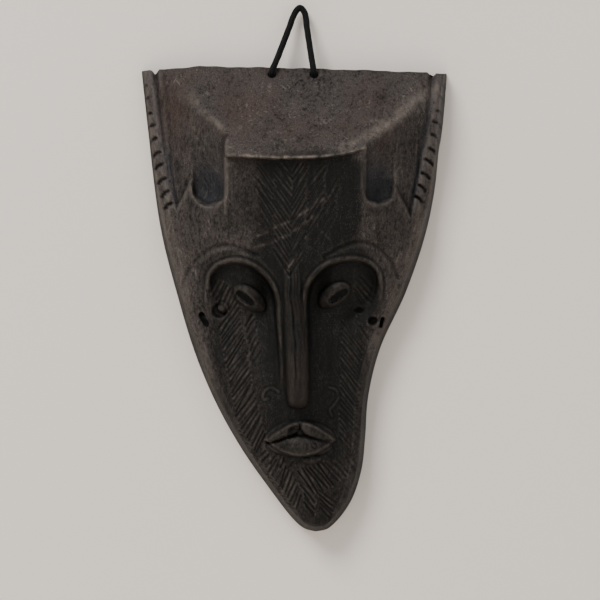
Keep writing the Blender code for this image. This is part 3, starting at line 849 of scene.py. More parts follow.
    def planes(self, x: Array, z: Array) -> tuple[Array, Array]:
        """The front of the block, shelf over face, and the two stepped side planes."""
        edge_z = station_across(x, self.brow_edge)
        shelf = self.top_depth + self.shelf_slope * (self.outline.top_at(x) - z)
        shelf = shelf - self.shelf_sag * np.sin(unit((z + 83.0) / 50.0) * math.pi)
        left, right = self.outline.left_x(z), self.outline.right_x(z)
        centre, half = (left + right) / 2, np.maximum((right - left) / 2, 1.0)
        face = station(z, self.face) - station(z, self.face_drop) * ((x - centre) / half) ** 2
        over = ramp(z - edge_z, -0.8, 0.6)
        front = face + (shelf - face) * over
        slope = station(z, self.side_slope)
        left_plane = station(z, self.side_left) + slope * (x - left)
        right_plane = station(z, self.side_right) + slope * (right - x)
        block = ramp(x, self.block[0] - 1.6, self.block[0] + 1.6)
        block = block * ramp(-x, -self.block[1] - 1.6, -self.block[1] + 1.6)
        block = block * ramp(z, -122.0, -104.0) * ramp(-z, 70.0, 82.0)
        sides = smooth_min(left_plane, right_plane, 4.0) - self.slope_step * self.slope_inside(x, z)
        return front, sides + 30.0 * block

    def body(self, x: Array, z: Array) -> Array:
        """The block before its details: the lower of the two planes, with a soft crease high up."""
        front, sides = self.planes(x, z)
        return smooth_min(front, sides, 2.4 + 7.0 * ramp(z, -66.0, -40.0))

    def on_shelf(self, x: Array, z: Array) -> Array:
        """Where the flat shelf is the surface."""
        front, sides = self.planes(x, z)
        return ramp(z - station_across(x, self.brow_edge), -0.4, 0.6) * ramp(sides - front, -2.0, 2.0)

    def slope_inside(self, x: Array, z: Array) -> Array:
        """Where the hollowed slopes lie, between the shelf's crests, the notched strips and the temples."""
        crisp = 1.2 + 3.0 * ramp(z, -88.0, -60.0)
        share = np.zeros(x.shape)
        for loop in self.slopes:
            inside = inside_distance(x, z, np.asarray(loop), 14.0)
            share = np.maximum(share, ramp(inside / crisp, -0.6, 1.0))
        return share

    def scallop_cut(self, x: Array, z: Array) -> Array:
        """Two scoops: a circular section along a short upright line, deepest at its round lower end."""
        cut = np.zeros(x.shape)
        for gouge_x, top, bottom, radius, depth in self.scallops:
            line = np.array([(gouge_x, top), (gouge_x + 0.4, bottom)])
            reach = line_distance(x, z, line, radius) / radius
            run = ramp(-z, -top, -bottom - 1.0)
            cut = np.maximum(cut, run * depth * unit(1.0 - reach ** 2) ** 0.7)
        return cut

    def socket_inside(self, x: Array, z: Array) -> tuple[Array, Array]:
        """Signed distance inside each eye socket's rim."""
        return tuple(inside_distance(x, z, smooth_curve(rim, 6, closed=True))
                     for rim in (self.left_socket, self.right_socket))

    def socket_cut(self, x: Array, z: Array) -> Array:
        """Sockets cut under the brows: crisp at the brow and the nose, deepest beside it, soft below."""
        fade = ramp(z, self.socket_fade[1], self.socket_fade[0])
        outer = ramp(np.abs(x + 4.0), 13.0, 27.0)
        bevel = self.socket_bevel + 15.0 * outer * ramp(-z, 150.0, 182.0)
        depth = self.socket_depth * (1.0 - 0.45 * outer * ramp(z, -176.0, -150.0))
        pits = np.zeros(x.shape)
        for px, pz in self.socket_pits:
            pits = pits + 3.4 * np.exp(-((x - px) / 6.5) ** 2 - ((z - pz) / 12.0) ** 2)
        cut = np.zeros(x.shape)
        for inside in self.socket_inside(x, z):
            within = ramp(inside / bevel, -0.08, 1.0)
            rim = 0.8 * bell(inside + 0.9, 0.8) - 0.55 * bell(inside + 2.5, 0.7)
            cut = cut + (depth + pits) * within * fade - rim * ramp(z, -168.0, -156.0)
        return cut

    def nose_rise(self, x: Array, z: Array) -> Array:
        """The long nose: a soft ridge with a rounded tip, split lengthwise by thin grooves."""
        table = np.asarray(self.nose)
        axis, half, height = (np.interp(-z, -table[:, 0], table[:, k]) for k in (1, 2, 3))
        across = (x - axis) / half
        ridge = height * (1.0 - unit(np.abs(across)) ** 3.0)
        on_nose = (z < table[0, 0]) & (z > table[-1, 0])
        long = ramp(-z, 141.0, 150.0) * ramp(z, -219.0, -205.0)
        wander = 0.35 * np.sin(z * 0.13) + 0.2 * np.sin(z * 0.37 + 1.0)
        lines = np.zeros(x.shape)
        for offset, width, depth in self.nose_grooves:
            off = np.abs(x - axis - offset * half - wander)
            lines = lines + depth * unit(1.0 - off / width)
        return np.where(on_nose, ridge - lines * long, 0.0)

    def lid_rise(self, x: Array, z: Array) -> Array:
        """Heavy upper lids over thin lower ones: domes that lean away from a sunk oval at each slit."""
        rise = np.zeros(x.shape)
        for (lx, lz, tilt, length, width, height), (sx, sz, _, slit, gap) in zip(self.lids, self.slits):
            c, s = math.cos(math.radians(tilt)), math.sin(math.radians(tilt))
            above = (z - sz) * c - (x - sx) * s
            lean = 0.52 + 0.48 * ramp(above, -2.5, 2.2)
            lid = height * lean * dome(x, z, (lx, lz), tilt, (length, width), 0.5)
            sunk = oval(x, z, (sx, sz), tilt, (slit * 0.54, gap * 0.62))
            rise = np.maximum(rise, lid - 1.4 * ramp(-sunk, -1.25, -0.95) * (lid > 0))
        return rise

    def mouth_inside(self, x: Array, z: Array) -> Array:
        """Depth of a point inside the almond that the mouth fills: the nearer of its two arcs."""
        upper, lower = (base + rise * (1.0 - unit(np.abs(x - middle) / self.mouth_half) ** power)
                        for base, rise, middle, power in self.mouth_arcs)
        return np.where(np.abs(x) < 20.0, np.minimum(upper - z, z - lower), -9.0)

    def lip_rise(self, x: Array, z: Array) -> Array:
        """Pouting lips in an almond with a thin rim: two upper lobes meet over one full lower lobe."""
        rise = np.zeros(x.shape)
        for lx, lz, tilt, length, width, height in self.lips:
            rise = np.maximum(rise, height * dome(x, z, (lx, lz), tilt, (length, width), 0.5))
        inside = self.mouth_inside(x, z)
        mound = 2.4 * ramp(inside, -0.6, 1.6) + 1.1 * bell(inside - 0.8, 0.8)
        cut = (groove(curve_distance(x, z, self.seam, 12, 3.0), 1.5, 2.2)
               + groove(curve_distance(x, z, self.faint_seam, 12, 3.0), 1.2, 0.8))
        cut = cut + 2.6 * dome(x, z, self.lip_nick, 30.0, (3.6, 2.5))
        cut = cut + 0.5 * bell(away(x, z, self.lip_ring) - 1.4, 0.45)
        under = 1.9 * dome(x, z, self.under_lip, 3.0, (5.4, 2.5), 0.6)
        return np.maximum(rise + mound, under) - cut

    def small_cuts(self, x: Array, z: Array) -> Array:
        """Curls beside the nose, the knob and the hollow beside the eyes, and a dimple between."""
        cut = np.zeros(x.shape)
        for points in (self.left_curl, self.right_curl):
            off = curve_distance(x, z, points, 8, 5.0)
            cut = cut + 0.5 * bell(off - 1.35, 0.6) - 0.5 * bell(off, 0.65)
        cut = cut + 2.8 * ramp(-away(x, z, self.left_pit), -5.0, -3.0)
        cut = cut - 4.0 * unit(1.0 - (away(x, z, self.knob) / 3.0) ** 2) ** 0.6
        cut = cut + 3.8 * dome(x, z, self.right_pit, 0.0, (2.9, 2.6), 0.7)
        lip = np.abs(away(x, z, self.right_pit_lip) - 3.4)
        cut = cut - 1.1 * unit(1.0 - lip) * ramp(-z, 173.5, 176.0)
        cut = cut + 2.0 * dome(x, z, self.dimple, 4.0, (3.2, 1.9))
        cut = cut - 0.9 * unit(1.0 - away(x, z, self.bead) / 1.1)
        for dx, dz, radius, depth in self.dishes:
            cut = cut + depth * unit(1.0 - (away(x, z, (dx, dz)) / radius) ** 2)
        return cut

    def strip_cuts(self, x: Array, z: Array, notches_only: bool = False) -> Array:
        """The notched strips: a chamfer outside each, a valley inside, and a row of hooked notches."""
        cut = np.zeros(x.shape)
        for hand, crest, valley, width in self.strips:
            if not notches_only:
                line = np.asarray(crest)
                outside = np.maximum((np.interp(-z, -line[:, 1], line[:, 0]) - x) * hand, 0.0)
                cut = cut + 0.8 * outside * ramp(z, -126.0, -104.0)
                off = curve_distance(x, z, valley, 6, 4.0)
                cut = cut + 2.2 * unit(1.0 - off / width) * ramp(z, -116.0, -104.0)
            centres = spread(smooth_curve(crest, 10), 11)[:-1]
            for k, (nx, nz) in enumerate(centres):
                turn = math.radians(50.0 + 6.0 * math.sin(k * 1.7)) * hand
                start = np.array([nx - 0.4 * hand, nz - 4.4 + 0.5 * math.sin(k * 2.3)])
                reach = np.array([math.cos(turn), math.sin(turn)]) * hand
                hook = np.array([start - reach * 2.3, start, start + reach * 1.9 + (0.9 * hand, -0.5)])
                near = curve_distance(x, z, hook, 4, 2.5)
                cut = cut + 3.0 * unit(1.0 - near / 1.25) ** 0.9
        return cut

    def brow_cut(self, x: Array, z: Array) -> Array:
        """The shallow outer grooves that follow the brows over each socket."""
        cut = np.zeros(x.shape)
        for points in self.brow_grooves:
            cut = cut + groove(curve_distance(x, z, points, 8, 3.5), 2.3, 1.5)
        return cut

    def hatching(self, x: Array, z: Array) -> tuple[Array, Array]:
        """Rows of chisel strokes: each is a V groove between two points, a little bent and uneven.

        Args:
            x: positions across.
            z: positions up.

        Returns:
            The depth cut, and how close each point is to the crest beside a stroke.
        """
        cut, nearest, second = np.zeros(x.shape), np.full(x.shape, 2.2), np.full(x.shape, 2.2)
        rng = np.random.default_rng(4)
        for first, last, first_end, last_end, count in self.stroke_rows:
            share = np.linspace(0.0, 1.0, count)[:, None]
            starts = np.asarray(first) + (np.asarray(last) - first) * share
            starts = starts + rng.normal(0.0, 0.35, (count, 2))
            ends = np.asarray(first_end) + (np.asarray(last_end) - first_end) * share
            ends = ends + rng.normal(0.0, 0.6, (count, 2))
            for start, end in zip(starts, ends):
                depth, width = rng.uniform(0.55, 1.2), rng.uniform(0.55, 0.85)
                bend = (start + end) / 2 + rng.normal(0.0, 0.25, 2)
                near = line_distance(x, z, np.array([start, bend, end]), 2.2)
                cut = np.maximum(cut, depth * unit(1.0 - near / width))
                second = np.minimum(second, np.maximum(nearest, near))
                nearest = np.minimum(nearest, near)
        clear = ramp(-z, 85.2, 86.6) * (1.0 - 0.35 * ramp(z, -150.0, -135.0))
        clear = clear * (1.0 - 0.35 * ramp(x, 18.0, 26.0) * ramp(-z, 140.0, 150.0) * ramp(z, -262.0, -246.0))
        broken = np.clip(0.62 + 0.55 * ripple(x, z, 5.0, 31), 0.15, 1.0)
        return cut * clear, ramp(nearest, 0.62, 1.05) * ramp(-second, -2.0, -1.3) * clear * clear * broken

    def scratches(self, x: Array, z: Array) -> Array:
        """Closeness to the long scratches across the forehead and a few small ones."""
        near = np.zeros(x.shape)
        for line in self.scratch_lines:
            near = np.maximum(near, unit(1.1 - curve_distance(x, z, line, 6, 2.0) / 0.72))
        return near

    def tool_marks(self, x: Array, z: Array) -> Array:
        """Shallow facets left by the knife, long up the grain, over soft unevenness."""
        u = x / 6.3 + 0.22 * ripple(x, z, 60.0, 5, 2.0) + 0.012 * z
        run = 0.5 + 0.5 * ripple(x, z, 15.0, 6, 3.0)
        facets = np.abs(np.sin(u * math.pi)) * np.clip(run, 0.1, 1.0)
        rough = 0.25 + 0.75 * ramp(-z, 70.0, 95.0)
        return 0.24 * facets * rough + 0.30 * ripple(x, z, 38.0, 7) + 0.05 * ripple(x, z, 5.0, 8, 6.0) * rough

    def front(self, x: Array, z: Array) -> Array:
        """Depth of the finished front: relief and tool marks, limited by the drafted outer walls."""
        relief = (self.body(x, z) - self.scallop_cut(x, z) - self.socket_cut(x, z) + self.nose_rise(x, z)
                  + self.lid_rise(x, z) + self.lip_rise(x, z) - self.small_cuts(x, z) - self.strip_cuts(x, z)
                  - self.brow_cut(x, z) - self.hatching(x, z)[0] - 0.45 * self.scratches(x, z)
                  - self.tool_marks(x, z))
        edge = line_distance(x, z, self.outline.sides, 40.0)
        wall = self.wall_draft * edge + 0.25 * ripple(x, z, 9.0, 9)
        top_wall = self.top_draft * np.maximum(self.outline.top_at(x) - z, 0.0)
        return smooth_min(smooth_min(relief, wall, 1.6), top_wall, 1.0)


@dataclass
class Hollow:
    """Depths of the hollow back."""

    relief: Relief
    rim_width: float = 7.5
    top_rim_width: float = 3.0
    shell: float = 8.0
    draft: float = 1.5
    top_draft: float = 4.0

    def depth(self, x: Array, z: Array) -> Array:
        """Flat rim, drafted wall, then an even shell under the face, marked by a gouge."""
        outline = self.relief.outline
        side_room = self.draft * (line_distance(x, z, outline.sides, 60.0) - self.rim_width)
        top_room = self.top_draft * (outline.top_at(x) - z - self.top_rim_width)
        shell = self.relief.body(x, z) - 0.6 * self.relief.scallop_cut(x, z) - self.shell
        shell = shell - self.relief.socket_depth * self.socket_mask(x, z)
        room = smooth_min(smooth_min(side_room, shell, 4.0), top_room, 1.5)
        u, v = x / 9.0 + 0.6 * ripple(x, z, 40.0, 21), z / 24.0 + 0.6 * ripple(x, z, 40.0, 22)
        gouge = 0.9 * np.abs(np.sin(u * math.pi)) + 0.5 * np.abs(np.sin(v * math.pi))
        return np.where(room > 0.0, np.maximum(room - gouge * ramp(room, 0.0, 5.0) * 0.8, 0.0), 0.0)

    def socket_mask(self, x: Array, z: Array) -> Array:
        """Share of the socket's depth that the hollow gives back as wood."""
        relief = self.relief
        fade = ramp(z, relief.socket_fade[1], relief.socket_fade[0])
        inside = np.maximum(*relief.socket_inside(x, z))
        return ramp(inside, -4.0, 4.0) * fade


@dataclass
class CarvedMask:
    """The carved block as one closed mesh over a grid that follows the carving's own lines."""

    outline: Outline = field(default_factory=Outline)
    body: str = "mask"
    node: str = "mask_body"
    rows: int = 424
    back_step: int = 4
    hole_radius: float = 2.35
    slit_bar_y: float = -30.0
    side_bar_y: float = -24.0
    cord_bar_depth: float = 7.0
    cord_bar_reach: float = 13.0
    sharp_angle: float = 62.0
    side_holes: Points = ((-54.6, -172.3, -57, 9.2, 3.8, 24), (48, -174, 74, 6.2, 2.3, -24))
    edge_insets: Points = (0, 0.5, 1.1, 1.8, 2.6, 3.5, 4.6, 5.9, 7.5)
    guides: tuple = (((-31, -46), (-83, -40.5), (-112, -40.5), (-150, -44), (-185, -38),
                      (-220, -27), (-250, -15), (-292, 4)),
                     ((-31, -12), (-150, -12.5), (-222, -11), (-250, -6), (-292, 7)),
                     ((-31, 3), (-150, 2), (-222, 7), (-250, 9), (-292, 10)),
                     ((-31, 46), (-83, 35), (-112, 35), (-150, 34), (-185, 29),
                      (-220, 24), (-250, 21), (-292, 13)))
    spans: tuple[int, ...] = (40, 47, 24, 47, 38)
    thinnest: float = 2.0
    hollow_bare: float = 0.10
    shelf_bare: float = 0.98
    side_bare: float = 0.66
    block_bare: float = 0.38
    cheek_bare: float = 0.15
    chin_bare: float = 0.17
    mouth_bare: float = 0.17
    rim_wear: float = 0.55
    # share of the pale crests kept in the hollow, as painted highlights
    hollow_crest_highlight: float = 0.30
    brow_wear: float = 0.85
    # paleness of the right crest and its patch: wear and painted highlight
    crest_wear_and_highlight: float = 0.34
    crest_patch_wear_and_highlight: float = 0.22
    left_crest_wear: float = 0.24
    # paleness of the stroke crests: dust and painted highlight
    stroke_dust_and_highlight: float = 0.27
    scratch_wear: float = 0.62
    chin_edge_wear: tuple[float, float] = (0.18, 0.25)
    # near-black painted shade in the hollow round the slits, and how far it reaches
    soot_and_shade: float = 0.9
    slit_shade_reach: float = 24.0
    crest: Points = ((72, -44.5), (60, -54.5), (47, -65), (34, -73), (23, -78))
    left_crest: Points = ((-61, -49.5), (-51, -60), (-43, -67.5))
    forehead_rub: Points = ((-23, -129.5), (-6, -121.5), (10, -110))
    dark_loop: Points = (
        (-22, -84), (34, -84), (36, -112), (34, -128), (43, -142), (47, -156), (44, -172), (38, -184),
        (40, -206), (41, -250), (38, -282), (10, -300), (-12, -296), (-31, -265), (-45, -236), (-50, -205),
        (-50, -178), (-51, -154), (-46, -142), (-30, -139), (-26, -128), (-24, -108))

    def __post_init__(self) -> None:
        """Set up the two surfaces."""
        self.relief = Relief(self.outline)
        self.hollow = Hollow(self.relief)

    def row_heights(self) -> Array:
        """Heights of the rows: even, but closer at the top edge, the brow edge and the chin tip."""
        fine = np.linspace(self.outline.top_z, self.outline.tip[1], 6000)
        weight = np.ones(fine.shape)
        for height, extra, reach in ((self.outline.top_z, 7.0, 1.2), (-82.5, 1.3, 2.6),
                                     (self.outline.tip[1], 14.0, 1.4)):
            weight += extra * bell(fine - height, reach)
        share = np.cumsum(weight)
        share = (share - share[0]) / (share[-1] - share[0])
        return np.interp(np.linspace(0.0, 1.0, self.rows + 1), share, fine)[:-1]

    def grid(self) -> tuple[Array, Array]:
        """Plan positions: columns run from edge to edge, spaced evenly between guide lines."""
        z = self.row_heights()[:, None]
        left, right = self.outline.left_x(z), self.outline.right_x(z)
        width = right - left
        insets = np.asarray(self.edge_insets)[None, :]
        squeeze = np.minimum(1.0, 0.2 * width / insets[0, -1])
        insets = insets * squeeze
        lines = [left + insets[:, -1:]]
        for guide in self.guides:
            table = np.asarray(guide)
            lines.append(np.interp(-z, -table[:, 0], table[:, 1]))
        lines.append(right - insets[:, -1:])
        lines = self.keep_apart(lines, width)
        parts = [left + insets]
        for first, last, count in zip(lines[:-1], lines[1:], self.spans):
            parts.append(first + (last - first) * (np.arange(1, count + 1) / count)[None, :])
        parts.append((right - insets)[:, ::-1][:, 1:])
        x = np.hstack(parts)
        bow = (self.outline.top_at(x) - self.outline.top_z) * ramp(z, -77.0, self.outline.top_z) ** 1.5
        brow_z = self.relief.brow_z
        bow = bow + (station_across(x, self.relief.brow_edge) - brow_z) * bell(z - brow_z, 9.0)
        return x, z + bow

    @staticmethod
    def keep_apart(lines: list[Array], width: Array) -> list[Array]:
        """Keep the guide lines in order and at least a share of the width apart."""
        least = 0.09 * width
        for k in range(1, len(lines) - 1):
            lines[k] = np.maximum(lines[k], lines[k - 1] + least)
        for k in range(len(lines) - 2, 0, -1):
            lines[k] = np.minimum(lines[k], lines[k + 1] - least)
        return lines

    def mesh(self) -> bpy.types.Object:
        """Close the front and the coarser hollow back over the outline that they share.

        Returns:
            The mask, dressed but not yet pierced.
        """
        x, z = self.grid()
        front = self.relief.front(x, z)
        front[0, :] = front[:, 0] = front[:, -1] = 0.0
        front = np.maximum(front, 0.0)
        rows, columns = x.shape
        step = self.back_step
        back_rows = np.unique(np.append(np.arange(0, rows, step), rows - 1))
        back_columns = np.unique(np.append(np.arange(0, columns, step), columns - 1))
        shared = np.ix_(back_rows, back_columns)
        bx, bz = x[shared], z[shared]
        back = np.minimum(self.hollow.depth(bx, bz), np.maximum(front[shared] - self.thinnest, 0.0))
        front_ids = np.arange(rows * columns).reshape(rows, columns)
        back_ids = rows * columns + np.arange(back.size).reshape(back.shape)
        on_edge = np.zeros(back.shape, dtype=bool)
        on_edge[0, :] = on_edge[:, 0] = on_edge[:, -1] = True
        back_ids = np.where(on_edge, front_ids[shared], back_ids)
        verts = np.vstack([np.column_stack([x.ravel(), -front.ravel(), z.ravel()]),
                           np.column_stack([bx.ravel(), -back.ravel(), bz.ravel()]),
                           [(self.outline.tip[0], 0.0, self.outline.tip[1])]])
        tip = len(verts) - 1
        faces = np.stack([front_ids[:-1, :-1], front_ids[1:, :-1], front_ids[1:, 1:], front_ids[:-1, 1:]], -1)
        faces = faces.reshape(-1, 4).tolist()
        faces += self.back_faces(front_ids, back_ids, back_rows, back_columns)
        faces += [[a, tip, b] for a, b in zip(front_ids[-1, :-1], front_ids[-1, 1:])]
        faces += [[a, b, tip] for a, b in zip(back_ids[-1, :-1], back_ids[-1, 1:])]
        used = np.unique(np.concatenate([np.asarray(f) for f in faces]))
        renumber = np.zeros(len(verts), dtype=int)
        renumber[used] = np.arange(len(used))
        item = new_object("carved_mask", verts[used], [renumber[np.asarray(f)].tolist() for f in faces])
        self.dress(item)
        return item

    @staticmethod
    def back_faces(front_ids: Array, back_ids: Array, rows: Array, columns: Array) -> list[list[int]]:
        """Quads of the back, with the front's extra edge points taken into those on the outline."""
        faces = []
        for i in range(len(rows) - 1):
            for j in range(len(columns) - 1):
                top = front_ids[0, columns[j]:columns[j + 1] + 1] if i == 0 else back_ids[i, j:j + 2]
                left = front_ids[rows[i]:rows[i + 1] + 1, 0] if j == 0 else back_ids[i:i + 2, j]
                last = j == len(columns) - 2
                right = front_ids[rows[i]:rows[i + 1] + 1, -1] if last else back_ids[i:i + 2, j + 1]
                faces.append([*top, *right[1:], back_ids[i + 1, j], *left[1:-1][::-1]])
        return faces

    def dress(self, item: bpy.types.Object) -> None:
        """Store where the wood is bare, worn, dusty, warm and grimy, and where highlights and shade are
        painted, worked out from the carving.

        Standing out from the smoothed surface means wear and a painted highlight, and lying under it means
        grime and painted shade.

        Args:
            item: the mask, before it is pierced.
        """
        place = positions(item)
        x, depth, z = place[:, 0], -place[:, 1], place[:, 2]
        normals = np.empty(len(place) * 3)
        item.data.vertices.foreach_get("normal", normals)
        normals = normals.reshape(-1, 3)
        outside = (normals[:, 1] < -0.02) | (depth < 0.5)
        relief = self.relief
        strokes, crests = relief.hatching(x, z)
        stand, near_stand = (depth - self.smoothed(item, depth, rounds) for rounds in (14, 4))
        # what stands out is paled as wear and painted highlight, and what lies under is darkened as grime and
        # painted shade
        convex = unit(stand / 0.8) * 0.6 + unit(near_stand / 0.25) * 0.4
        concave = unit(-stand) * 0.6 + unit(-near_stand / 0.25) * 0.4
        dark = self.dark_zone(x, z)
        rim_face = (depth < 0.4) & (normals[:, 1] > 0.3)
        bare = np.where(rim_face, 1.0, np.where(outside, self.bareness(x, z), self.hollow_bare))
        edge_z = station_across(x, relief.brow_edge)
        brow = bell(z - edge_z - 0.7, 1.0) * ramp(x, -43.0, -40.0) * ramp(-x, -38.0, -34.0)
        crest = smooth_curve(self.crest)
        ridge = bell(line_distance(x, z, crest, 8.0), 2.6)
        ridge_left = bell(curve_distance(x, z, self.left_crest, 12, 8.0), 2.2)
        rim = line_distance(x, z, self.outline.sides, 9.0)
        convex = convex * (1.0 - 0.75 * ramp(-rim, -8.0, -2.0) * ramp(-z, 110.0, 150.0))
        chipped = np.clip(0.62 + 0.50 * ripple(x, z, 7.0, 33) + 0.25 * ripple(x, z, 2.5, 34), 0.1, 1.0)
        brow = brow * chipped * (1.0 - 0.55 * ramp(x, 0.0, 26.0))
        # the right crest and the patch below it are paled: partly wear, partly a painted highlight on the
        # upward-facing ridge
        patch = bell(line_distance(x, z, crest[:30], 16.0), 5.5)
        ridges = (self.crest_wear_and_highlight * ridge + self.crest_patch_wear_and_highlight * patch) * (0.5 + 0.5 * chipped)
        wear_and_highlight = unit(self.brow_wear * brow + ridges + self.left_crest_wear * ridge_left
                    + convex * (0.20 + 0.10 * (1.0 - dark)))
        nose = ramp(relief.nose_rise(x, z), 1.0, 3.0)
        bare = bare * (1.0 - 0.3 * nose * outside)
        # the crest beside each chisel stroke is paled: dust and a painted highlight where light catches the
        # groove's wall
        wear_and_highlight = (wear_and_highlight + self.stroke_dust_and_highlight * crests) * (1.0 - 0.6 * nose)
        wear_and_highlight = wear_and_highlight + self.scratch_wear * relief.scratches(x, z) * chipped
        low_left = ramp(-rim, -1.5, -0.4) * ramp(-z, 195.0, 215.0) * (x < 0.0)
        low_right = ramp(-rim, -3.0, -0.8) * ramp(-z, 225.0, 238.0) * ramp(z, -270.0, -258.0) * (x > 20.0)
        for share, edge in zip(self.chin_edge_wear, (low_left, low_right)):
            wear_and_highlight = wear_and_highlight + share * edge * chipped
        scoop = relief.scallop_cut(x, z)
        dust = 0.9 * unit(scoop / 6.0) + 0.5 * self.strip_zone(x, z)
        notches = unit(relief.strip_cuts(x, z, notches_only=True) / 1.6)
        store(item, "bare", unit(bare))
        # inside the hollow the gouge crests keep part of the paleness, as painted highlights
        wear_and_highlight = wear_and_highlight * np.where(outside, 1.0, self.hollow_crest_highlight)
        store(item, "wear_and_highlight", unit(np.where(rim_face, self.rim_wear, wear_and_highlight)))
        # darker where the surface lies under its smoothed self: partly grime, partly painted shade in the
        # recesses
        grime_and_shade = concave * (0.55 + 0.25 * dark) * (1.0 - 0.5 * unit(scoop / 3.0))
        # painted shade: the notches and the stroke grooves are darkened
        grime_and_shade = grime_and_shade + 0.7 * notches + 0.3 * strokes
        # painted shade: inside the hollow, round the eye slits and the left side hole, the wood is painted
        # near black so the slits look dark
        for hole_x, hole_z, *_ in (*relief.slits, self.side_holes[0]):
            slit_shade = np.exp(-(away(x, z, (hole_x, hole_z)) / self.slit_shade_reach) ** 4)
            grime_and_shade = np.where(outside, grime_and_shade, np.maximum(grime_and_shade, self.soot_and_shade * slit_shade))
        store(item, "grime_and_shade", np.clip(grime_and_shade, 0.0, 0.92))
        store(item, "dust", unit(dust * outside) * 0.6)
        warmth = 0.75 * ramp(z, -100.0, -60.0) + 0.42 * bell(x + 2.5, 8.0) * ramp(-z, 150.0, 170.0)
        store(item, "warmth", unit(warmth * ramp(z, -226.0, -216.0)))

    @staticmethod
    def smoothed(item: bpy.types.Object, values: Array, rounds: int) -> Array:
        """Average each vertex's value with its neighbours', several times over."""
        count = len(item.data.edges)
        ends = np.empty(count * 2, dtype=np.int64)
        item.data.edges.foreach_get("vertices", ends)
        ends = ends.reshape(-1, 2)
        total = len(values)
        degree = np.bincount(ends.ravel(), minlength=total)
        result = values.copy()
        for _ in range(rounds):
            near = np.bincount(ends[:, 0], weights=result[ends[:, 1]], minlength=total)
            near += np.bincount(ends[:, 1], weights=result[ends[:, 0]], minlength=total)
            result = 0.5 * result + 0.5 * near / np.maximum(degree, 1)
        return result

    def bareness(self, x: Array, z: Array) -> Array:
        """How much of the stain has gone: nearly all on the shelf, least in the middle of the face."""
        relief = self.relief
        level = self.side_bare + 0.16 * ramp(-z, 125.0, 150.0) - 0.50 * ramp(-z, 200.0, 240.0)
        shelf = relief.on_shelf(x, z)
        level = level + (self.shelf_bare - level) * shelf
        level = level - 0.14 * relief.slope_inside(x, z) * (1.0 - shelf)
        block = ramp(x, -42.0, -40.0) * ramp(-z, 83.5, 84.5) * ramp(z, -128.0, -118.0)
        level = level + (self.block_bare - level) * block * ramp(-x, -8.0, 20.0)
        level = level + 0.09 * bell(curve_distance(x, z, self.forehead_rub, 12, 9.0), 3.0)
        rim = np.abs(inside_distance(x, z, smooth_curve(relief.left_socket, 6, closed=True)))
        brows = bell(np.maximum(np.abs(rim - 3.4) - 2.4, 0.0), 1.0)
        level = level - 0.46 * brows * ramp(z, -158.0, -150.0)
        dark = self.dark_zone(x, z)
        deep = np.maximum(self.cheek_bare * ramp(-x, 14.0, 24.0) * ramp(-z, 150.0, 165.0),
                          self.chin_bare * ramp(-z, 222.0, 244.0))
        level = level * (1.0 - dark) + deep * dark
        inside = relief.mouth_inside(x, z)
        return level + (self.mouth_bare + 0.30 * bell(inside - 1.0, 0.8) - level) * ramp(inside, -0.4, 0.8)

    def dark_zone(self, x: Array, z: Array) -> Array:
        """How far a point lies in the near-black middle of the face."""
        return ramp(inside_distance(x, z, smooth_curve(self.dark_loop, 5, closed=True), 20.0), -3.5, 5.0)

    @staticmethod
    def strip_zone(x: Array, z: Array) -> Array:
        """How far a point lies on one of the two notched strips."""
        left = ramp(-np.abs(x + np.interp(-z, (35.0, 110.0), (85.0, 70.5))), -5.0, -2.5)
        right = ramp(-np.abs(x - np.interp(-z, (35.0, 112.0), (78.5, 63.0))), -5.0, -2.5)
        return (left + right) * ramp(z, -114.0, -104.0)

    def cutters(self) -> list[bpy.types.Object]:
        """Bars that pierce the eye slits, the holes beside the eyes and the cord's holes."""
        cord = HangingCord()
        inward = np.array([0.0, 1.0, 0.0])
        bars = [self.bar(f"eye_{k}", np.array([x, self.slit_bar_y, z]), inward, tilt, length, width)
                for k, (x, z, tilt, length, width) in enumerate(self.relief.slits)]
        for k, (x, z, tilt, length, width, slant) in enumerate(self.side_holes):
            lean = np.array([math.sin(math.radians(slant)), math.cos(math.radians(slant)), 0.0])
            bars.append(self.bar(f"side_{k}", np.array([x, self.side_bar_y, z]), lean, tilt, length, width))
        for side in Side:
            centre = cord.pivot(side) + cord.inward() * self.cord_bar_depth
            bars.append(self.bar(f"cord_{side.name}", centre, cord.inward(), 0.0,
                                 2 * self.hole_radius + 0.01, 2 * self.hole_radius, self.cord_bar_reach))
        return bars

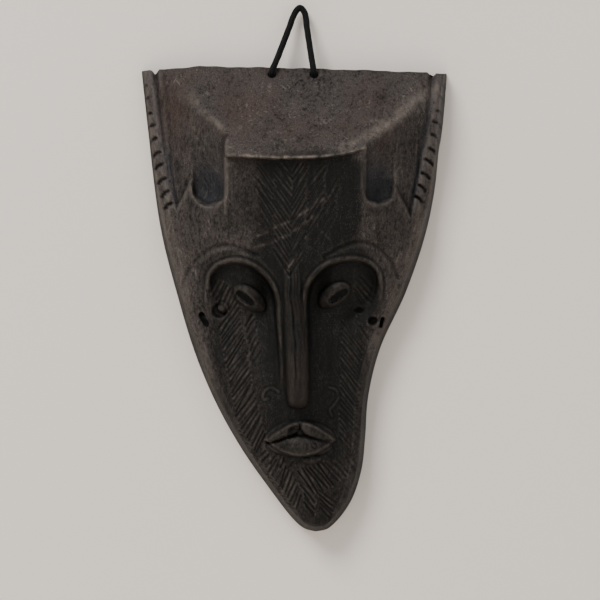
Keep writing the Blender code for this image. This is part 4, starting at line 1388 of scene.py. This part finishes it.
    @staticmethod
    def bar(name: str, centre: Array, along: Array, tilt: float, length: float, width: float,
            reach: float = 45.0) -> bpy.types.Object:
        """A round-ended bar: two half circles joined by straight sides, swept along a direction."""
        c, s = math.cos(math.radians(tilt)), math.sin(math.radians(tilt))
        side = np.array([1.0, 0.0, 0.0]) - along * along[0]
        side /= np.linalg.norm(side)
        up = np.cross(side, along)
        across, high = side * c + up * s, up * c - side * s
        angle = np.linspace(-math.pi / 2, math.pi / 2, 15)
        half, radius = (length - width) / 2, width / 2
        u = np.concatenate([half + radius * np.cos(angle), -half - radius * np.cos(angle)])
        v = np.concatenate([radius * np.sin(angle), -radius * np.sin(angle)])
        ring = centre + u[:, None] * across + v[:, None] * high
        count = len(ring)
        verts = np.vstack([ring - along * reach, ring + along * reach])
        faces = [[k + count, (k + 1) % count + count, (k + 1) % count, k] for k in range(count)]
        faces += [list(range(count)), list(range(count, 2 * count))[::-1]]
        return new_object(f"bar_{name}", verts, faces)

    def build(self, finish: bpy.types.Material) -> bpy.types.Object:
        """Carve the mask, pierce it and dress it.

        Args:
            finish: the wood's material.

        Returns:
            The finished mask.
        """
        mask = self.mesh()
        for bar in self.cutters():
            cut = mask.modifiers.new(bar.name, "BOOLEAN")
            cut.operation, cut.solver, cut.object = "DIFFERENCE", "MANIFOLD", bar
        before = len(mask.data.vertices)
        graph = bpy.context.evaluated_depsgraph_get()
        pierced = bpy.data.meshes.new_from_object(mask.evaluated_get(graph), depsgraph=graph)
        for modifier in list(mask.modifiers):
            bar = modifier.object
            mask.modifiers.remove(modifier)
            bpy.data.objects.remove(bar, do_unlink=True)
        mask.data = pierced
        pierced.name = mask.name
        pierced.shade_smooth()
        pierced.set_sharp_from_angle(angle=math.radians(self.sharp_angle))
        mask.data.materials.clear()
        mask.data.materials.append(finish)
        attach(mask, self.body)
        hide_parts(self.node)
        LOG.info("mask: %d vertices before piercing, %d after", before, len(pierced.vertices))
        return mask


def main() -> None:
    """Build the studio, the cord and the mask, in that order."""
    logging.basicConfig(level=logging.INFO, format="%(name)s: %(message)s")
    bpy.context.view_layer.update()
    Studio().build()
    HangingCord().build(BraidedCord().material())
    CarvedMask().build(StainedWood().material())


if __name__ == "__main__":
    main()
